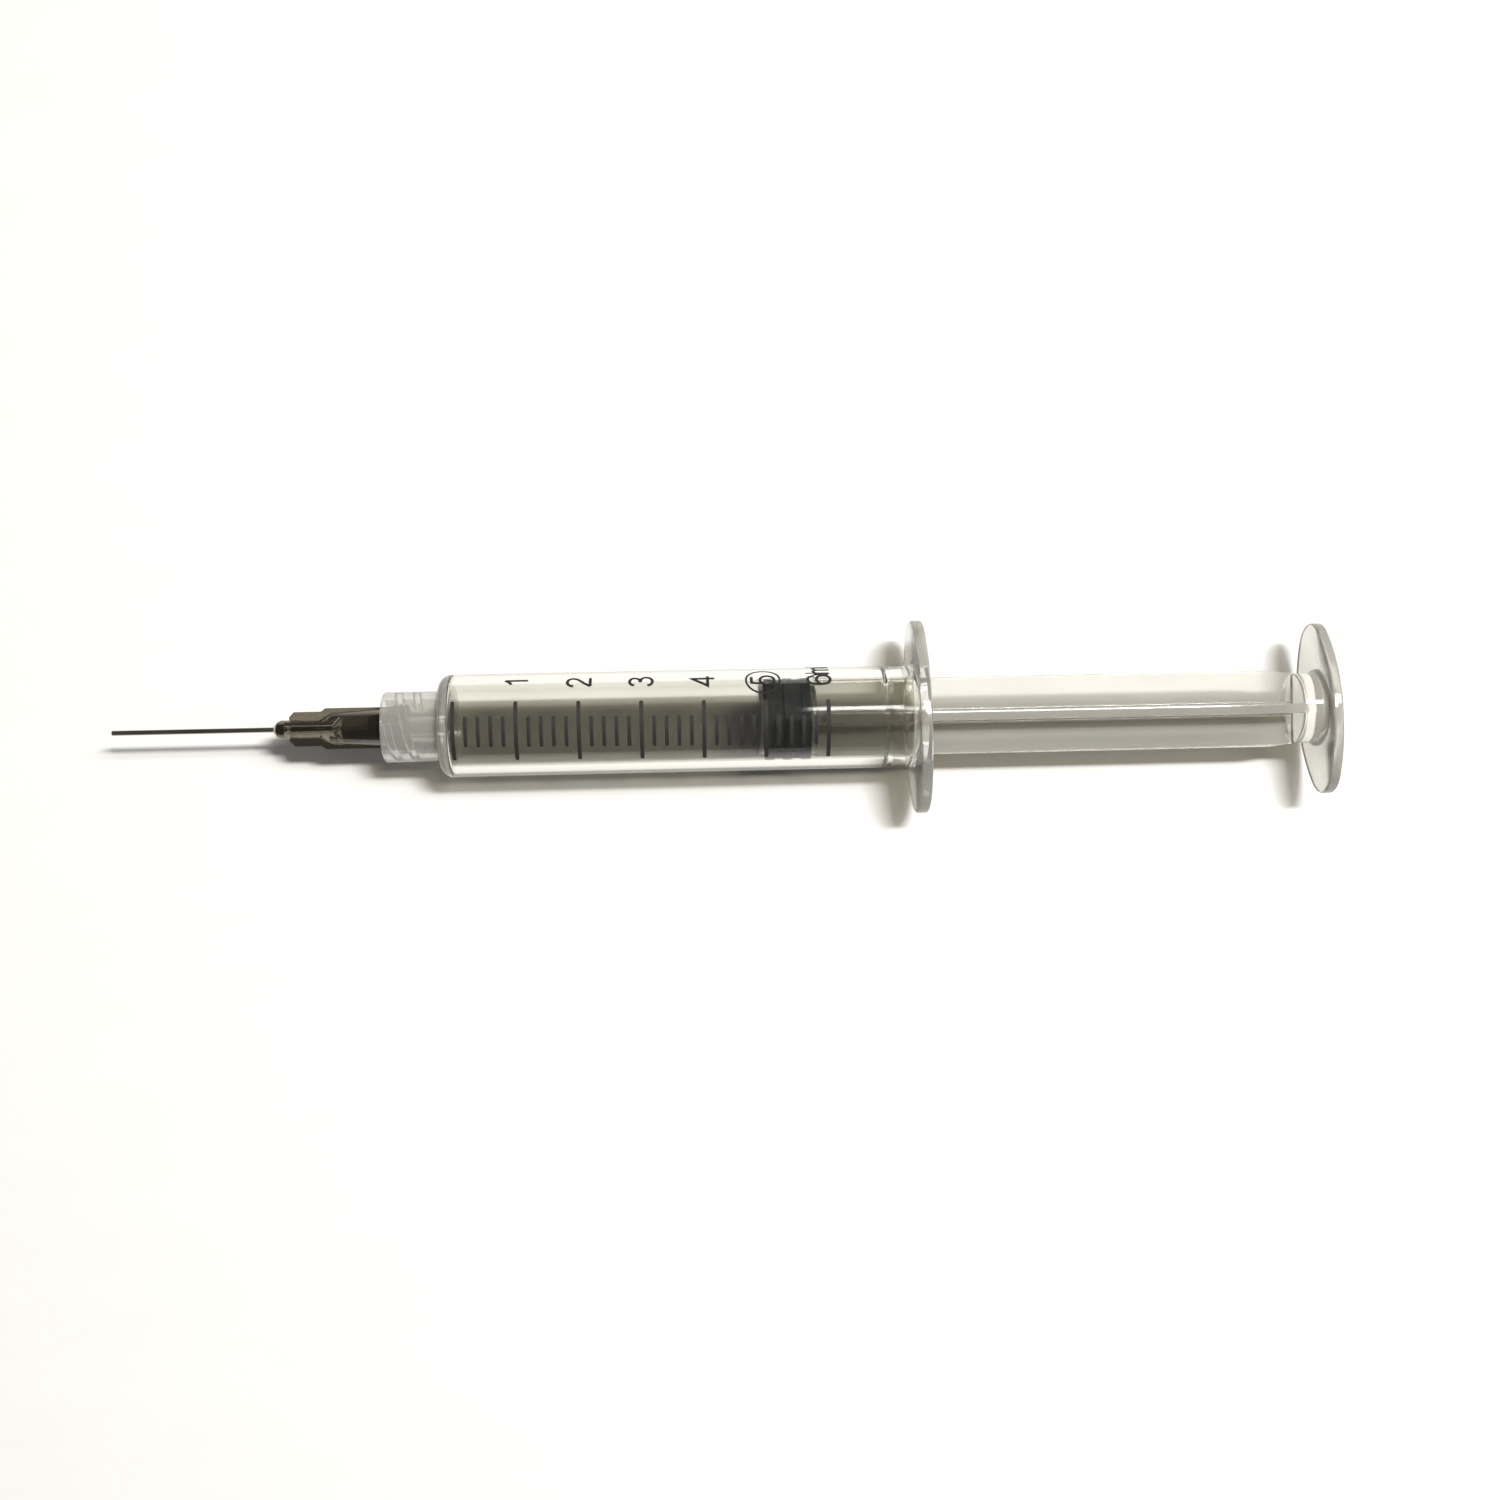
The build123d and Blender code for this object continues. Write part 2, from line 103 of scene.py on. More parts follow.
# Strokes of the digits and letters, as (curved, points), where a point is (across, up) and the height is 1.
GLYPHS = {
    "1": [(True, [(0.04, 0.72), (0.2, 0.82), (0.32, 1.0)]), (False, [(0.32, 1.0), (0.32, 0.0)])],
    "2": [
        (True, [
            (0.05, 0.74), (0.14, 0.93), (0.33, 1.0), (0.53, 0.92), (0.6, 0.73), (0.5, 0.52), (0.25, 0.27),
            (0.05, 0.0),
        ]),
        (False, [(0.05, 0.0), (0.64, 0.0)]),
    ],
    "3": [
        (True, [
            (0.05, 0.8), (0.14, 0.95), (0.31, 1.0), (0.5, 0.92), (0.55, 0.75), (0.46, 0.59), (0.27, 0.53),
        ]),
        (True, [
            (0.27, 0.53), (0.5, 0.47), (0.61, 0.27), (0.5, 0.07), (0.3, 0.0), (0.12, 0.06), (0.03, 0.22),
        ]),
    ],
    "4": [(False, [(0.48, 0.0), (0.48, 1.0), (0.0, 0.3), (0.66, 0.3)])],
    "5": [
        (False, [(0.56, 1.0), (0.16, 1.0), (0.09, 0.5)]),
        (True, [
            (0.09, 0.5), (0.3, 0.63), (0.52, 0.54), (0.61, 0.32), (0.51, 0.08), (0.29, 0.0), (0.1, 0.07),
            (0.03, 0.22),
        ]),
    ],
    "6": [
        (True, [
            (0.57, 0.83), (0.47, 0.96), (0.31, 1.0), (0.13, 0.88), (0.05, 0.6), (0.05, 0.33), (0.13, 0.09),
            (0.33, 0.0), (0.53, 0.08), (0.61, 0.3), (0.53, 0.53), (0.33, 0.61), (0.13, 0.52), (0.05, 0.33),
        ]),
    ],
    "m": [
        (False, [(0.0, 0.0), (0.0, 0.7)]),
        (True, [(0.0, 0.5), (0.12, 0.67), (0.27, 0.7), (0.37, 0.55), (0.37, 0.28), (0.37, 0.0)]),
        (True, [(0.37, 0.5), (0.49, 0.67), (0.64, 0.7), (0.74, 0.55), (0.74, 0.28), (0.74, 0.0)]),
    ],
    "l": [(False, [(0.0, 0.0), (0.0, 1.0)])],
}


# ---------------------------------------------------------------- sizes and colours

def length(name, description, millimetres):
    """A length property with its default given in millimetres."""
    return FloatProperty(
        name=name, description=description, default=millimetres * MM, min=0.0, unit="LENGTH", precision=5
    )


def angle_size(name, description, degrees):
    """An angle property with its default given in degrees."""
    return FloatProperty(name=name, description=description, default=math.radians(degrees), subtype="ANGLE")


def amount(name, description, default, least=0.0):
    """A plain number that isn't less than least."""
    return FloatProperty(name=name, description=description, default=default, min=least)


def colour(name, description, default):
    """A linear RGB colour property."""
    return FloatVectorProperty(
        name=name, description=description, default=default, size=3, min=0.0, max=1.0, subtype="COLOR"
    )


class SyringeSizes(bpy.types.PropertyGroup):
    """Sizes of the details; the overall sizes come from the frame."""

    bore_radius: length("Bore radius", "Inside of the barrel", 6.0)
    front_wall: length("Front wall", "Between the bore and the lock collar", 1.6)
    shoulder_round: length("Shoulder round", "Rounding of the barrel's front edge", 1.7)
    mouth_chamfer: length("Mouth chamfer", "Edge of the bore at the flange", 0.3)
    flange_thickness: length("Flange thickness", "Finger flange", 1.7)
    flange_end_radius: length("Flange end radius", "Arc at each end of the finger flange", 6.2)
    flange_root_round: length("Flange root round", "Between the barrel and the flange", 0.8)
    plate_edge_round: length("Plate edge round", "Edges of the flange and the thumb rest", 0.35)
    bead_height: length("Bead height", "Ring inside the bore's mouth", 0.22)
    bead_width: length("Bead width", "Ring inside the bore's mouth", 1.3)
    bead_to_flange: length("Bead to flange", "Front of the bead to the flange's front face", 4.7)
    collar_length: length("Collar length", "Lock collar", 8.0)
    collar_radius: length("Collar radius", "Outside of the lock collar", 5.1)
    thread_root_radius: length("Thread root radius", "Inside of the lock collar", 4.0)
    thread_crest_radius: length("Thread crest radius", "Top of the lock collar's thread", 3.5)
    thread_lead: length("Thread lead", "Travel of the needle for one turn", 5.0)
    thread_to_rim: length("Thread to rim", "Start of the thread from the collar's rim", 0.8)
    thread_root_width: length("Thread root width", "Foot of the thread's ridge", 1.2)
    thread_crest_width: length("Thread crest width", "Top of the thread's ridge", 0.7)
    nozzle_past_collar: length("Nozzle past collar", "Nozzle tip ahead of the collar's rim", 2.1)
    nozzle_tip_radius: length("Nozzle tip radius", "Luer cone's small end", 1.98)
    nozzle_root_radius: length("Nozzle root radius", "Luer cone's large end", 2.28)
    channel_radius: length("Channel radius", "Hole through the nozzle", 1.0)
    head_radius: length("Head radius", "Heads of the plunger rod", 5.1)
    head_thickness: length("Head thickness", "Heads of the plunger rod", 0.9)
    neck_radius: length("Neck radius", "Neck of the plunger rod inside the stopper", 2.56)
    rib_radius: length("Rib radius", "Plunger rod's ribs from its axis", 5.65)
    rib_thickness: length("Rib thickness", "Plunger rod's ribs", 1.4)
    rib_edge_round: length("Rib edge round", "Outer edges of the ribs", 0.14)
    rib_root_round: length("Rib root round", "Corners between the ribs", 0.35)
    rib_taper_length: length("Rib taper length", "Ribs slope down to the boss", 3.5)
    boss_radius: length("Boss radius", "Boss in front of the thumb rest", 5.2)
    boss_length: length("Boss length", "Boss in front of the thumb rest", 3.5)
    boss_round: length("Boss round", "Between the boss and the thumb rest", 0.8)
    thumb_thickness: length("Thumb rest thickness", "Plate of the thumb rest", 1.6)
    thumb_end_radius: length("Thumb rest end radius", "Arc at each end of the thumb rest", 4.2)
    stopper_hole_radius: length("Stopper hole radius", "Hole for the rod's neck", 2.6)
    stopper_rib_height: length("Stopper rib height", "Sealing ribs", 0.2)
    stopper_rib_width: length("Stopper rib width", "Sealing ribs", 1.3)
    hub_base_radius: length("Hub base radius", "Large end of the hub's cone", 2.83)
    hub_shoulder_radius: length("Hub shoulder radius", "Small end of the hub's cone", 2.3)
    hub_nose_radius: length("Hub nose radius", "Slim front of the hub", 1.33)
    fin_thickness: length("Fin thickness", "Hub's fins", 0.65)
    fin_back_radius: length("Fin back radius", "Rear step of the fins", 2.97)
    fin_front_radius: length("Fin front radius", "Front step of the fins", 2.5)
    fin_back_length: length("Fin back length", "Rear step of the fins", 10.0)
    fin_front_length: length("Fin front length", "Front step of the fins", 5.2)
    fin_chamfer: length("Fin chamfer", "Front corner of the fins", 0.7)
    hub_cone_length: length("Hub cone length", "Hub from its mouth to the flare", 11.0)
    hub_flare_length: length("Hub flare length", "Between the cone and the nose", 1.7)
    hub_nose_chamfer: length("Hub nose chamfer", "Front edge of the hub", 0.6)
    hub_collar_radius: length("Hub collar radius", "Ring at the hub's mouth", 3.25)
    hub_collar_length: length("Hub collar length", "Ring at the hub's mouth", 1.9)
    hub_cavity_depth: length("Hub cavity depth", "Luer socket", 9.2)
    hub_funnel_length: length("Hub funnel length", "Socket down to the tube's hole", 1.6)
    lug_radius: length("Lug radius", "Lugs that turn in the collar's thread", 3.85)
    lug_root_width: length("Lug root width", "Foot of a lug", 1.0)
    lug_crest_width: length("Lug crest width", "Top of a lug", 0.65)
    luer_gap: length("Luer gap", "Between the nozzle's cone and the socket", 0.02)
    glue_well_radius: length("Glue well radius", "Pocket at the hub's front", 0.8)
    glue_well_depth: length("Glue well depth", "Pocket at the hub's front", 1.2)
    tube_hole_radius: length("Tube hole radius", "Hole in the hub for the steel tube", 0.35)
    tube_grind: length("Tube grind", "Taken off the steel tube's radius where it is glued", 0.03)
    tube_grind_taper: length("Tube grind taper", "Where the ground part begins", 0.6)
    cannula_bore_radius: length("Cannula bore radius", "Hole in the steel tube", 0.2)
    ink_thickness: length("Ink thickness", "Print on the barrel", 0.03)
    major_mark_width: length("Major mark width", "Lines at each millilitre", 0.56)
    minor_mark_width: length("Minor mark width", "Lines between millilitres", 0.52)
    numeral_height: length("Numeral height", "Digits of the scale", 3.25)
    numeral_stroke: length("Numeral stroke", "Line of the digits", 0.43)
    letter_gap: length("Letter gap", "Second letter of the unit from the first, round the barrel", 1.9)
    ringed_shift: length("Ringed shift", "Ringed digit from its line towards the needle", 0.3)
    unit_shift: length("Unit shift", "Last digit and the unit from their line towards the needle", 1.1)
    unit_gap: length("Unit gap", "Unit from the last digit, round the barrel", 2.7)
    ring_radius: length("Ring radius", "Ring round the full mark's digit", 2.4)
    ring_stroke: length("Ring stroke", "Line of the ring", 0.3)
    thread_sweep: angle_size("Thread sweep", "Turn of one start of the thread", 340.0)
    lug_sweep: angle_size("Lug sweep", "Turn of one lug", 70.0)
    fin_turn: angle_size("Fin turn", "First fin from the top of the hub", 10.0)
    major_mark_sweep: angle_size("Major mark sweep", "Lines at each millilitre, round the barrel", 68.0)
    minor_mark_sweep: angle_size("Minor mark sweep", "Lines between millilitres, round the barrel", 34.0)
    rib_turn: angle_size("Rib turn", "Ribs from the thumb rest's short axis", 11.0)
    mark_centre: angle_size("Mark centre", "Middle of the zero line from the top of the barrel", 17.6)
    numeral_centre: angle_size("Numeral centre", "Middle of the numerals from the middle of a line", -61.0)
    print_skew: angle_size("Print skew", "Turn of the print for each metre towards the thumb rest", 120.0)
    round_steps: IntProperty(name="Round steps", description="Points round the barrel", default=256, min=32)


class SyringeColours(bpy.types.PropertyGroup):
    """Base colours of the materials."""

    clear: colour("Clear plastic", "Barrel", (0.93, 0.925, 0.88))
    rod: colour("Rod plastic", "Plunger rod", (0.93, 0.92, 0.87))
    smoke: colour("Smoky plastic", "Needle hub", (0.19, 0.165, 0.125))
    rubber: colour("Rubber", "Stopper", (0.004, 0.005, 0.007))
    ink: colour("Ink", "Print on the barrel", (0.003, 0.003, 0.003))
    steel: colour("Steel", "Needle tube", (0.30, 0.27, 0.25))
    glue: colour("Glue", "Bead at the hub's nose", (0.85, 0.78, 0.68))
    floor: colour("Floor", "Stage", (0.93, 0.925, 0.91))


class SyringeStage(bpy.types.PropertyGroup):
    """Camera, lights and floor."""

    floor_drop: length("Floor drop", "Floor below the barrel's axis", 8.75)
    lens: amount("Lens", "Focal length in millimetres", 38.0, least=1.0)
    camera_place: FloatVectorProperty(
        name="Camera place", description="Where the camera stands", size=3, subtype="TRANSLATION",
        default=(0.03173, -0.04379, 0.22703), unit="LENGTH",
    )
    camera_turn: FloatVectorProperty(
        name="Camera turn", description="How the camera is turned", size=3, subtype="EULER",
        default=tuple(math.radians(angle) for angle in (9.885, -2.312, -1.687)),
    )
    main_power: amount("Main power", "Overhead light in watts", 5.4)
    main_turn: angle_size("Main turn", "Overhead light from straight up towards +Y", 6.0)
    edge_power: amount("Edge power", "Highlight lamp in watts", 1.5)
    edge_turn: angle_size("Edge turn", "Highlight lamp from straight up towards +Y", 11.0)
    room_strength: amount("Room strength", "Light from all round", 0.15)
    room_colour: colour("Room colour", "Light from all round", (1.0, 0.985, 0.96))


def sizes():
    """The scene's size properties."""
    return bpy.context.scene.syringe_sizes


def colours():
    """The scene's colour properties."""
    return bpy.context.scene.syringe_colours


# ---------------------------------------------------------------- places from the frame

def spans(node):
    """First x, last x, half length along Y and half height along Z of a CAD node."""
    low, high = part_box(node)
    return low.x, high.x, high.y, high.z


def mount(name):
    """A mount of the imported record."""
    return next(item for item in frame["record"]["mounts"] if item["name"] == name)


BARREL_RADIUS = mount("barrel_body")["dims"]["r_mm"] * MM
ML_STEP = 1e-6 / math.pi      # a millilitre in cubic metres, over pi


# ---------------------------------------------------------------- surfaces

def put_mesh(name, points, faces, material):
    """Object at the origin from an array of points and a list or array of faces, shaded smooth."""
    mesh = bpy.data.meshes.new(name)
    mesh.from_pydata(points.reshape(-1, 3).tolist(), [], [list(face) for face in faces])
    mesh.validate()
    mesh.polygons.foreach_set("use_smooth", np.ones(len(mesh.polygons), bool))
    mesh.materials.append(material)
    mesh.update()
    piece = bpy.data.objects.new(name, mesh)
    bpy.context.scene.collection.objects.link(piece)
    return piece


def grid_faces(rows, columns, rows_closed=True):
    """Quads of a grid of points, numbered row by row: each row is closed, and so may the rows be."""
    row = np.arange(rows if rows_closed else rows - 1)
    i, j = np.meshgrid(row, np.arange(columns), indexing="ij")
    i_next, j_next = (i + 1) % rows, (j + 1) % columns
    corners = (i * columns + j, i_next * columns + j, i_next * columns + j_next, i * columns + j_next)
    return np.stack([corner.ravel() for corner in corners], 1)


def about_axis(x, radius, angle):
    """Points at distance radius from the X axis: angle 0 is the top and grows towards -Y."""
    x, radius, angle = np.broadcast_arrays(x, radius, angle)
    return np.stack([x, -radius * np.sin(angle), radius * np.cos(angle)], -1)


def full_turn(steps):
    """Evenly spaced angles round the axis, without the repeated last one."""
    return np.arange(steps) * TURN / steps


def ring_skin(name, x, radius, angle, material):
    """Closed skin with a hole along X: each row is a ring, and the last row joins the first.

    A point is (x, -radius sin(angle), radius cos(angle)), with one x and radius for each row and angle.
    """
    points = about_axis(x, radius, angle)
    return put_mesh(name, points, grid_faces(*points.shape[:2]), material)


def turned_skin(name, profile, steps, material):
    """Closed skin of a closed profile of (x, radius) rows, turned about X in a number of steps."""
    return ring_skin(name, profile[:, [0]], profile[:, [1]], full_turn(steps), material)


def capped_skin(name, x, radius, angle, material):
    """Closed skin without a hole: rings as in ring_skin, and a fan to a point on the axis at each end."""
    points = about_axis(x, radius, angle)
    rows, columns = points.shape[:2]
    faces = grid_faces(rows, columns, rows_closed=False).tolist()
    first, last = rows * columns, rows * columns + 1
    j = np.arange(columns)
    j_next = (j + 1) % columns
    faces += np.stack([j, j_next, np.full(columns, first)], 1).tolist()
    end = (rows - 1) * columns
    faces += np.stack([end + j_next, end + j, np.full(columns, last)], 1).tolist()
    poles = np.array([[points[0, 0, 0], 0, 0], [points[-1, 0, 0], 0, 0]])
    return put_mesh(name, np.vstack([points.reshape(-1, 3), poles]), faces, material)


def outward(piece):
    """Welds a closed skin and turns its faces outwards."""
    shape = bmesh.new()
    shape.from_mesh(piece.data)
    bmesh.ops.remove_doubles(shape, verts=shape.verts, dist=WELD)
    bmesh.ops.recalc_face_normals(shape, faces=shape.faces)
    if shape.calc_volume(signed=True) < 0:
        bmesh.ops.reverse_faces(shape, faces=shape.faces)
    shape.to_mesh(piece.data)
    shape.free()
    return piece


def rounded(corners, steps=6):
    """Profile with rounded corners: corners are (x, radius, rounding, weight) and each gets a tangent arc.

    Near a corner the curve is an arc of the corner's rounding between its two tangent points, and the
    weight is carried along unchanged. Columns of the result are x, radius and weight.
    """
    rows = []
    count = len(corners)
    for index, (x, radius, rounding, weight) in enumerate(corners):
        here = np.array([x, radius])
        if rounding == 0:
            rows.append([[x, radius, weight]])
            continue
        before = np.array(corners[index - 1][:2]) - here
        after = np.array(corners[(index + 1) % count][:2]) - here
        before, after = before / np.linalg.norm(before), after / np.linalg.norm(after)
        half = math.acos(np.clip(before @ after, -1, 1)) / 2
        middle = (before + after) / np.linalg.norm(before + after)
        centre = here + middle * rounding / math.sin(half)
        start = here + before * rounding / math.tan(half) - centre
        end = here + after * rounding / math.tan(half) - centre
        turn = math.atan2(start[0] * end[1] - start[1] * end[0], start @ end)
        angle = np.linspace(0, turn, steps + 1)
        arc_x = centre[0] + start[0] * np.cos(angle) - start[1] * np.sin(angle)
        arc_radius = centre[1] + start[0] * np.sin(angle) + start[1] * np.cos(angle)
        rows.append(np.stack([arc_x, arc_radius, np.full(steps + 1, weight)], 1))
    return np.vstack(rows)


def densified(profile, longest, closed=True):
    """Profile with points added so that no stretch is longer than longest."""
    loop = np.vstack([profile, profile[:1]]) if closed else profile
    pieces = []
    for start, end in zip(loop[:-1], loop[1:]):
        parts = max(1, math.ceil(np.hypot(*(end - start)[:2]) / longest))
        pieces.append(start + (end - start) * (np.arange(parts) / parts)[:, None])
    if not closed:
        pieces.append(loop[-1:])
    return np.vstack(pieces)


def oval_radius(angle, half_length, half_height, end_radius):
    """Distance from the centre to an oval of two end arcs and two side arcs that meet smoothly.

    angle 0 is along Z. A ray meets the end arc, centred on the Y axis, or the side arc, centred on the
    Z axis, whichever the ray's direction falls in.
    """
    end_centre = half_length - end_radius
    side_radius = (end_centre**2 + half_height**2 - end_radius**2) / (2 * (half_height - end_radius))
    rise = side_radius - half_height
    reach = math.hypot(end_centre, rise)
    join = math.atan2(end_radius * rise / reach, end_centre + end_radius * end_centre / reach)
    along, across = np.abs(np.sin(angle)), np.abs(np.cos(angle))
    end_arc = end_centre * along + np.sqrt(np.maximum(end_radius**2 - (end_centre * across) ** 2, 0))
    side_arc = -rise * across + np.sqrt(side_radius**2 - (rise * along) ** 2)
    return np.where(np.arctan2(across, along) < join, end_arc, side_arc)


def densified_where(profile, picked, longest):
    """Profile densified only between its first and last picked rows."""
    first, last = np.flatnonzero(picked)[[0, -1]]
    middle = densified(profile[first:last + 1], longest, closed=False)
    return np.vstack([profile[:first], middle, profile[last + 1:]])


def smooth_step(value):
    """0 below 0, 1 above 1, and a smooth rise between."""
    value = np.clip(value, 0, 1)
    return value * value * (3 - 2 * value)


def helix_bump(x, angle, start_x, sweep, lead, starts, root_width, crest_width):
    """Height, from 0 to 1, of trapezoid ridges on a right-hand helix about the X axis.

    Each start begins at the bottom of the ring and advances by lead in one turn; the height falls from
    1 to 0 between the crest's and the root's half width, and over a few degrees at the ridge's ends.
    """
    height = np.zeros(np.broadcast(x, angle).shape)
    for start in range(starts):
        turned = np.mod(angle - math.pi - start * TURN / starts, TURN)
        for lap in (0, 1):
            along = turned + lap * TURN
            offset = np.abs(x - start_x - lead * along / TURN)
            flank = (root_width / 2 - offset) / ((root_width - crest_width) / 2)
            ends = smooth_step((sweep - along) / RIDGE_RUNOUT) * smooth_step(along / RIDGE_RUNOUT)
            height = np.maximum(height, smooth_step(flank) * ends)
    return height


# ---------------------------------------------------------------- materials

def link(tree, source, target):
    """Joins two sockets."""
    tree.links.new(source, target)


def patterned_noise(tree, stretch, scale, detail):
    """Noise on object coordinates, stretched by a Mapping node; returns its factor socket."""
    nodes = tree.nodes
    coordinates = nodes.new("ShaderNodeTexCoord")
    mapping = nodes.new("ShaderNodeMapping")
    mapping.inputs["Scale"].default_value = stretch
    noise = nodes.new("ShaderNodeTexNoise")
    noise.inputs["Scale"].default_value = scale
    noise.inputs["Detail"].default_value = detail
    link(tree, coordinates.outputs["Object"], mapping.inputs["Vector"])
    link(tree, mapping.outputs["Vector"], noise.inputs["Vector"])
    return noise.outputs["Fac"]


def ranged(tree, source, low, high, to_low=0.0, to_high=1.0):
    """Map Range node on a socket; the last two may be sockets."""
    node = tree.nodes.new("ShaderNodeMapRange")
    link(tree, source, node.inputs["Value"])
    node.inputs["From Min"].default_value = low
    node.inputs["From Max"].default_value = high
    for name, value in (("To Min", to_low), ("To Max", to_high)):
        if isinstance(value, bpy.types.NodeSocket):
            link(tree, value, node.inputs[name])
        else:
            node.inputs[name].default_value = value
    return node.outputs["Result"]


def combined(tree, operation, first, second):
    """Math node on two sockets or numbers."""
    node = tree.nodes.new("ShaderNodeMath")
    node.operation = operation
    for socket, value in zip(node.inputs, (first, second)):
        if isinstance(value, bpy.types.NodeSocket):
            link(tree, value, socket)
        else:
            socket.default_value = value
    return node.outputs["Value"]


def blended_colour(tree, factor, first, second):
    """Mix node between two colour sockets."""
    node = tree.nodes.new("ShaderNodeMix")
    node.data_type = "RGBA"
    link(tree, factor, node.inputs["Factor"])
    link(tree, first, node.inputs["A"])
    link(tree, second, node.inputs["B"])
    return node.outputs["Result"]


def handled_surface():
    """Shader group for a moulded or drawn surface that has been handled.

    Clouds shift the base colour towards a second one, streaks along X are the flow and polishing lines,
    specks are fine dust, and smears are patches where the gloss is duller.
    """
    name = "Handled surface"
    if name in bpy.data.node_groups:
        return bpy.data.node_groups[name]
    tree = bpy.data.node_groups.new(name, "ShaderNodeTree")
    socket = tree.interface.new_socket
    for label, kind, value in (
        ("Base", "NodeSocketColor", (0.8, 0.8, 0.8, 1.0)),
        ("Cloud", "NodeSocketColor", (0.7, 0.7, 0.7, 1.0)),
        ("Dust", "NodeSocketFloat", 0.3),
        ("Polished", "NodeSocketFloat", 0.05),
        ("Dulled", "NodeSocketFloat", 0.2),
        ("Streaks", "NodeSocketFloat", 0.5),
    ):
        socket(name=label, in_out="INPUT", socket_type=kind).default_value = value
    for label, kind in (
        ("Color", "NodeSocketColor"), ("Roughness", "NodeSocketFloat"), ("Height", "NodeSocketFloat"),
    ):
        socket(name=label, in_out="OUTPUT", socket_type=kind)
    given = tree.nodes.new("NodeGroupInput")
    result = tree.nodes.new("NodeGroupOutput")
    clouds = ranged(tree, patterned_noise(tree, (0.4, 1.0, 1.0), 160.0, 3.0), 0.35, 0.7)
    streaks = patterned_noise(tree, (0.05, 1.0, 1.0), 2600.0, 3.0)
    grain = patterned_noise(tree, (1.0, 1.0, 1.0), 5200.0, 2.0)
    specks = ranged(tree, patterned_noise(tree, (1.0, 1.0, 1.0), 2100.0, 1.0), 0.74, 0.8)
    smears = ranged(tree, patterned_noise(tree, (0.3, 1.0, 1.0), 75.0, 5.0), 0.45, 0.75)
    tinted = blended_colour(tree, clouds, given.outputs["Base"], given.outputs["Cloud"])
    dust = combined(tree, "MULTIPLY", specks, given.outputs["Dust"])
    dusty = blended_colour(tree, dust, tinted, given.outputs["Cloud"])
    worn = combined(tree, "MAXIMUM", smears, dust)
    rough = ranged(tree, worn, 0.0, 1.0, given.outputs["Polished"], given.outputs["Dulled"])
    lines = combined(tree, "MULTIPLY", streaks, given.outputs["Streaks"])
    height = combined(tree, "ADD", combined(tree, "MULTIPLY", grain, 0.3), lines)
    height = combined(tree, "ADD", height, dust)
    link(tree, dusty, result.inputs["Color"])
    link(tree, rough, result.inputs["Roughness"])
    link(tree, height, result.inputs["Height"])
    return tree


def finish_material(name, base, cloud, *, dust, polished, dulled, streaks, relief, fixed, shadow=None):
    """Material with the handled surface feeding a Principled BSDF.

    relief is the depth of the bump in millimetres and fixed holds the shader's own constant sockets. With
    a shadow colour, part of the light that would cast this piece's shadow goes straight through instead.
    """
    if name in bpy.data.materials:
        return bpy.data.materials[name]
    material = bpy.data.materials.new(name)
    material.use_nodes = True
    tree = material.node_tree
    tree.nodes.clear()
    output = tree.nodes.new("ShaderNodeOutputMaterial")
    shader = tree.nodes.new("ShaderNodeBsdfPrincipled")
    surface = tree.nodes.new("ShaderNodeGroup")
    surface.node_tree = handled_surface()
    for label, value in (
        ("Base", (*base, 1.0)), ("Cloud", (*cloud, 1.0)), ("Dust", dust),
        ("Polished", polished), ("Dulled", dulled), ("Streaks", streaks),
    ):
        surface.inputs[label].default_value = value
    bump = tree.nodes.new("ShaderNodeBump")
    bump.inputs["Strength"].default_value = 1.0
    bump.inputs["Distance"].default_value = relief * MM
    link(tree, surface.outputs["Color"], shader.inputs["Base Color"])
    link(tree, surface.outputs["Roughness"], shader.inputs["Roughness"])
    link(tree, surface.outputs["Height"], bump.inputs["Height"])
    link(tree, bump.outputs["Normal"], shader.inputs["Normal"])
    for label, value in fixed.items():
        shader.inputs[label].default_value = value
    if shadow is None:
        link(tree, shader.outputs["BSDF"], output.inputs["Surface"])
        return material
    rays = tree.nodes.new("ShaderNodeLightPath")
    straight = tree.nodes.new("ShaderNodeBsdfTransparent")
    straight.inputs["Color"].default_value = (*shadow, 1.0)
    mix = tree.nodes.new("ShaderNodeMixShader")
    link(tree, rays.outputs["Is Shadow Ray"], mix.inputs["Fac"])
    link(tree, shader.outputs["BSDF"], mix.inputs[1])
    link(tree, straight.outputs["BSDF"], mix.inputs[2])
    link(tree, mix.outputs["Shader"], output.inputs["Surface"])
    return material


def scaled(rgb, factor):
    """A colour darkened or lightened by a factor."""
    return tuple(min(1.0, channel * factor) for channel in rgb)


def clear_plastic():
    """Clear, glossy wall of the barrel."""
    base = colours().clear
    return finish_material(
        "clear_polypropylene", base, scaled(base, 0.96),
        dust=0.4, polished=0.03, dulled=0.08, streaks=0.35, relief=0.001,
        fixed={"Transmission Weight": 1.0, "IOR": POLYPROPYLENE}, shadow=(0.55, 0.54, 0.5),
    )


def cloudy_plastic():
    """Milkier, duller plastic where the barrel's moulding is thick."""
    base = scaled(colours().clear, 0.94)
    return finish_material(
        "cloudy_polypropylene", base, scaled(base, 0.94),
        dust=0.4, polished=0.06, dulled=0.16, streaks=0.5, relief=0.004,
        fixed={"Transmission Weight": 0.76, "IOR": POLYPROPYLENE}, shadow=(0.4, 0.38, 0.32),
    )


def rod_plastic():
    """Slightly milky plastic of the plunger rod."""
    base = colours().rod
    return finish_material(
        "rod_polypropylene", base, scaled(base, 0.94),
        dust=0.4, polished=0.05, dulled=0.14, streaks=0.6, relief=0.003,
        fixed={"Transmission Weight": 0.78, "IOR": POLYPROPYLENE}, shadow=(0.36, 0.34, 0.29),
    )


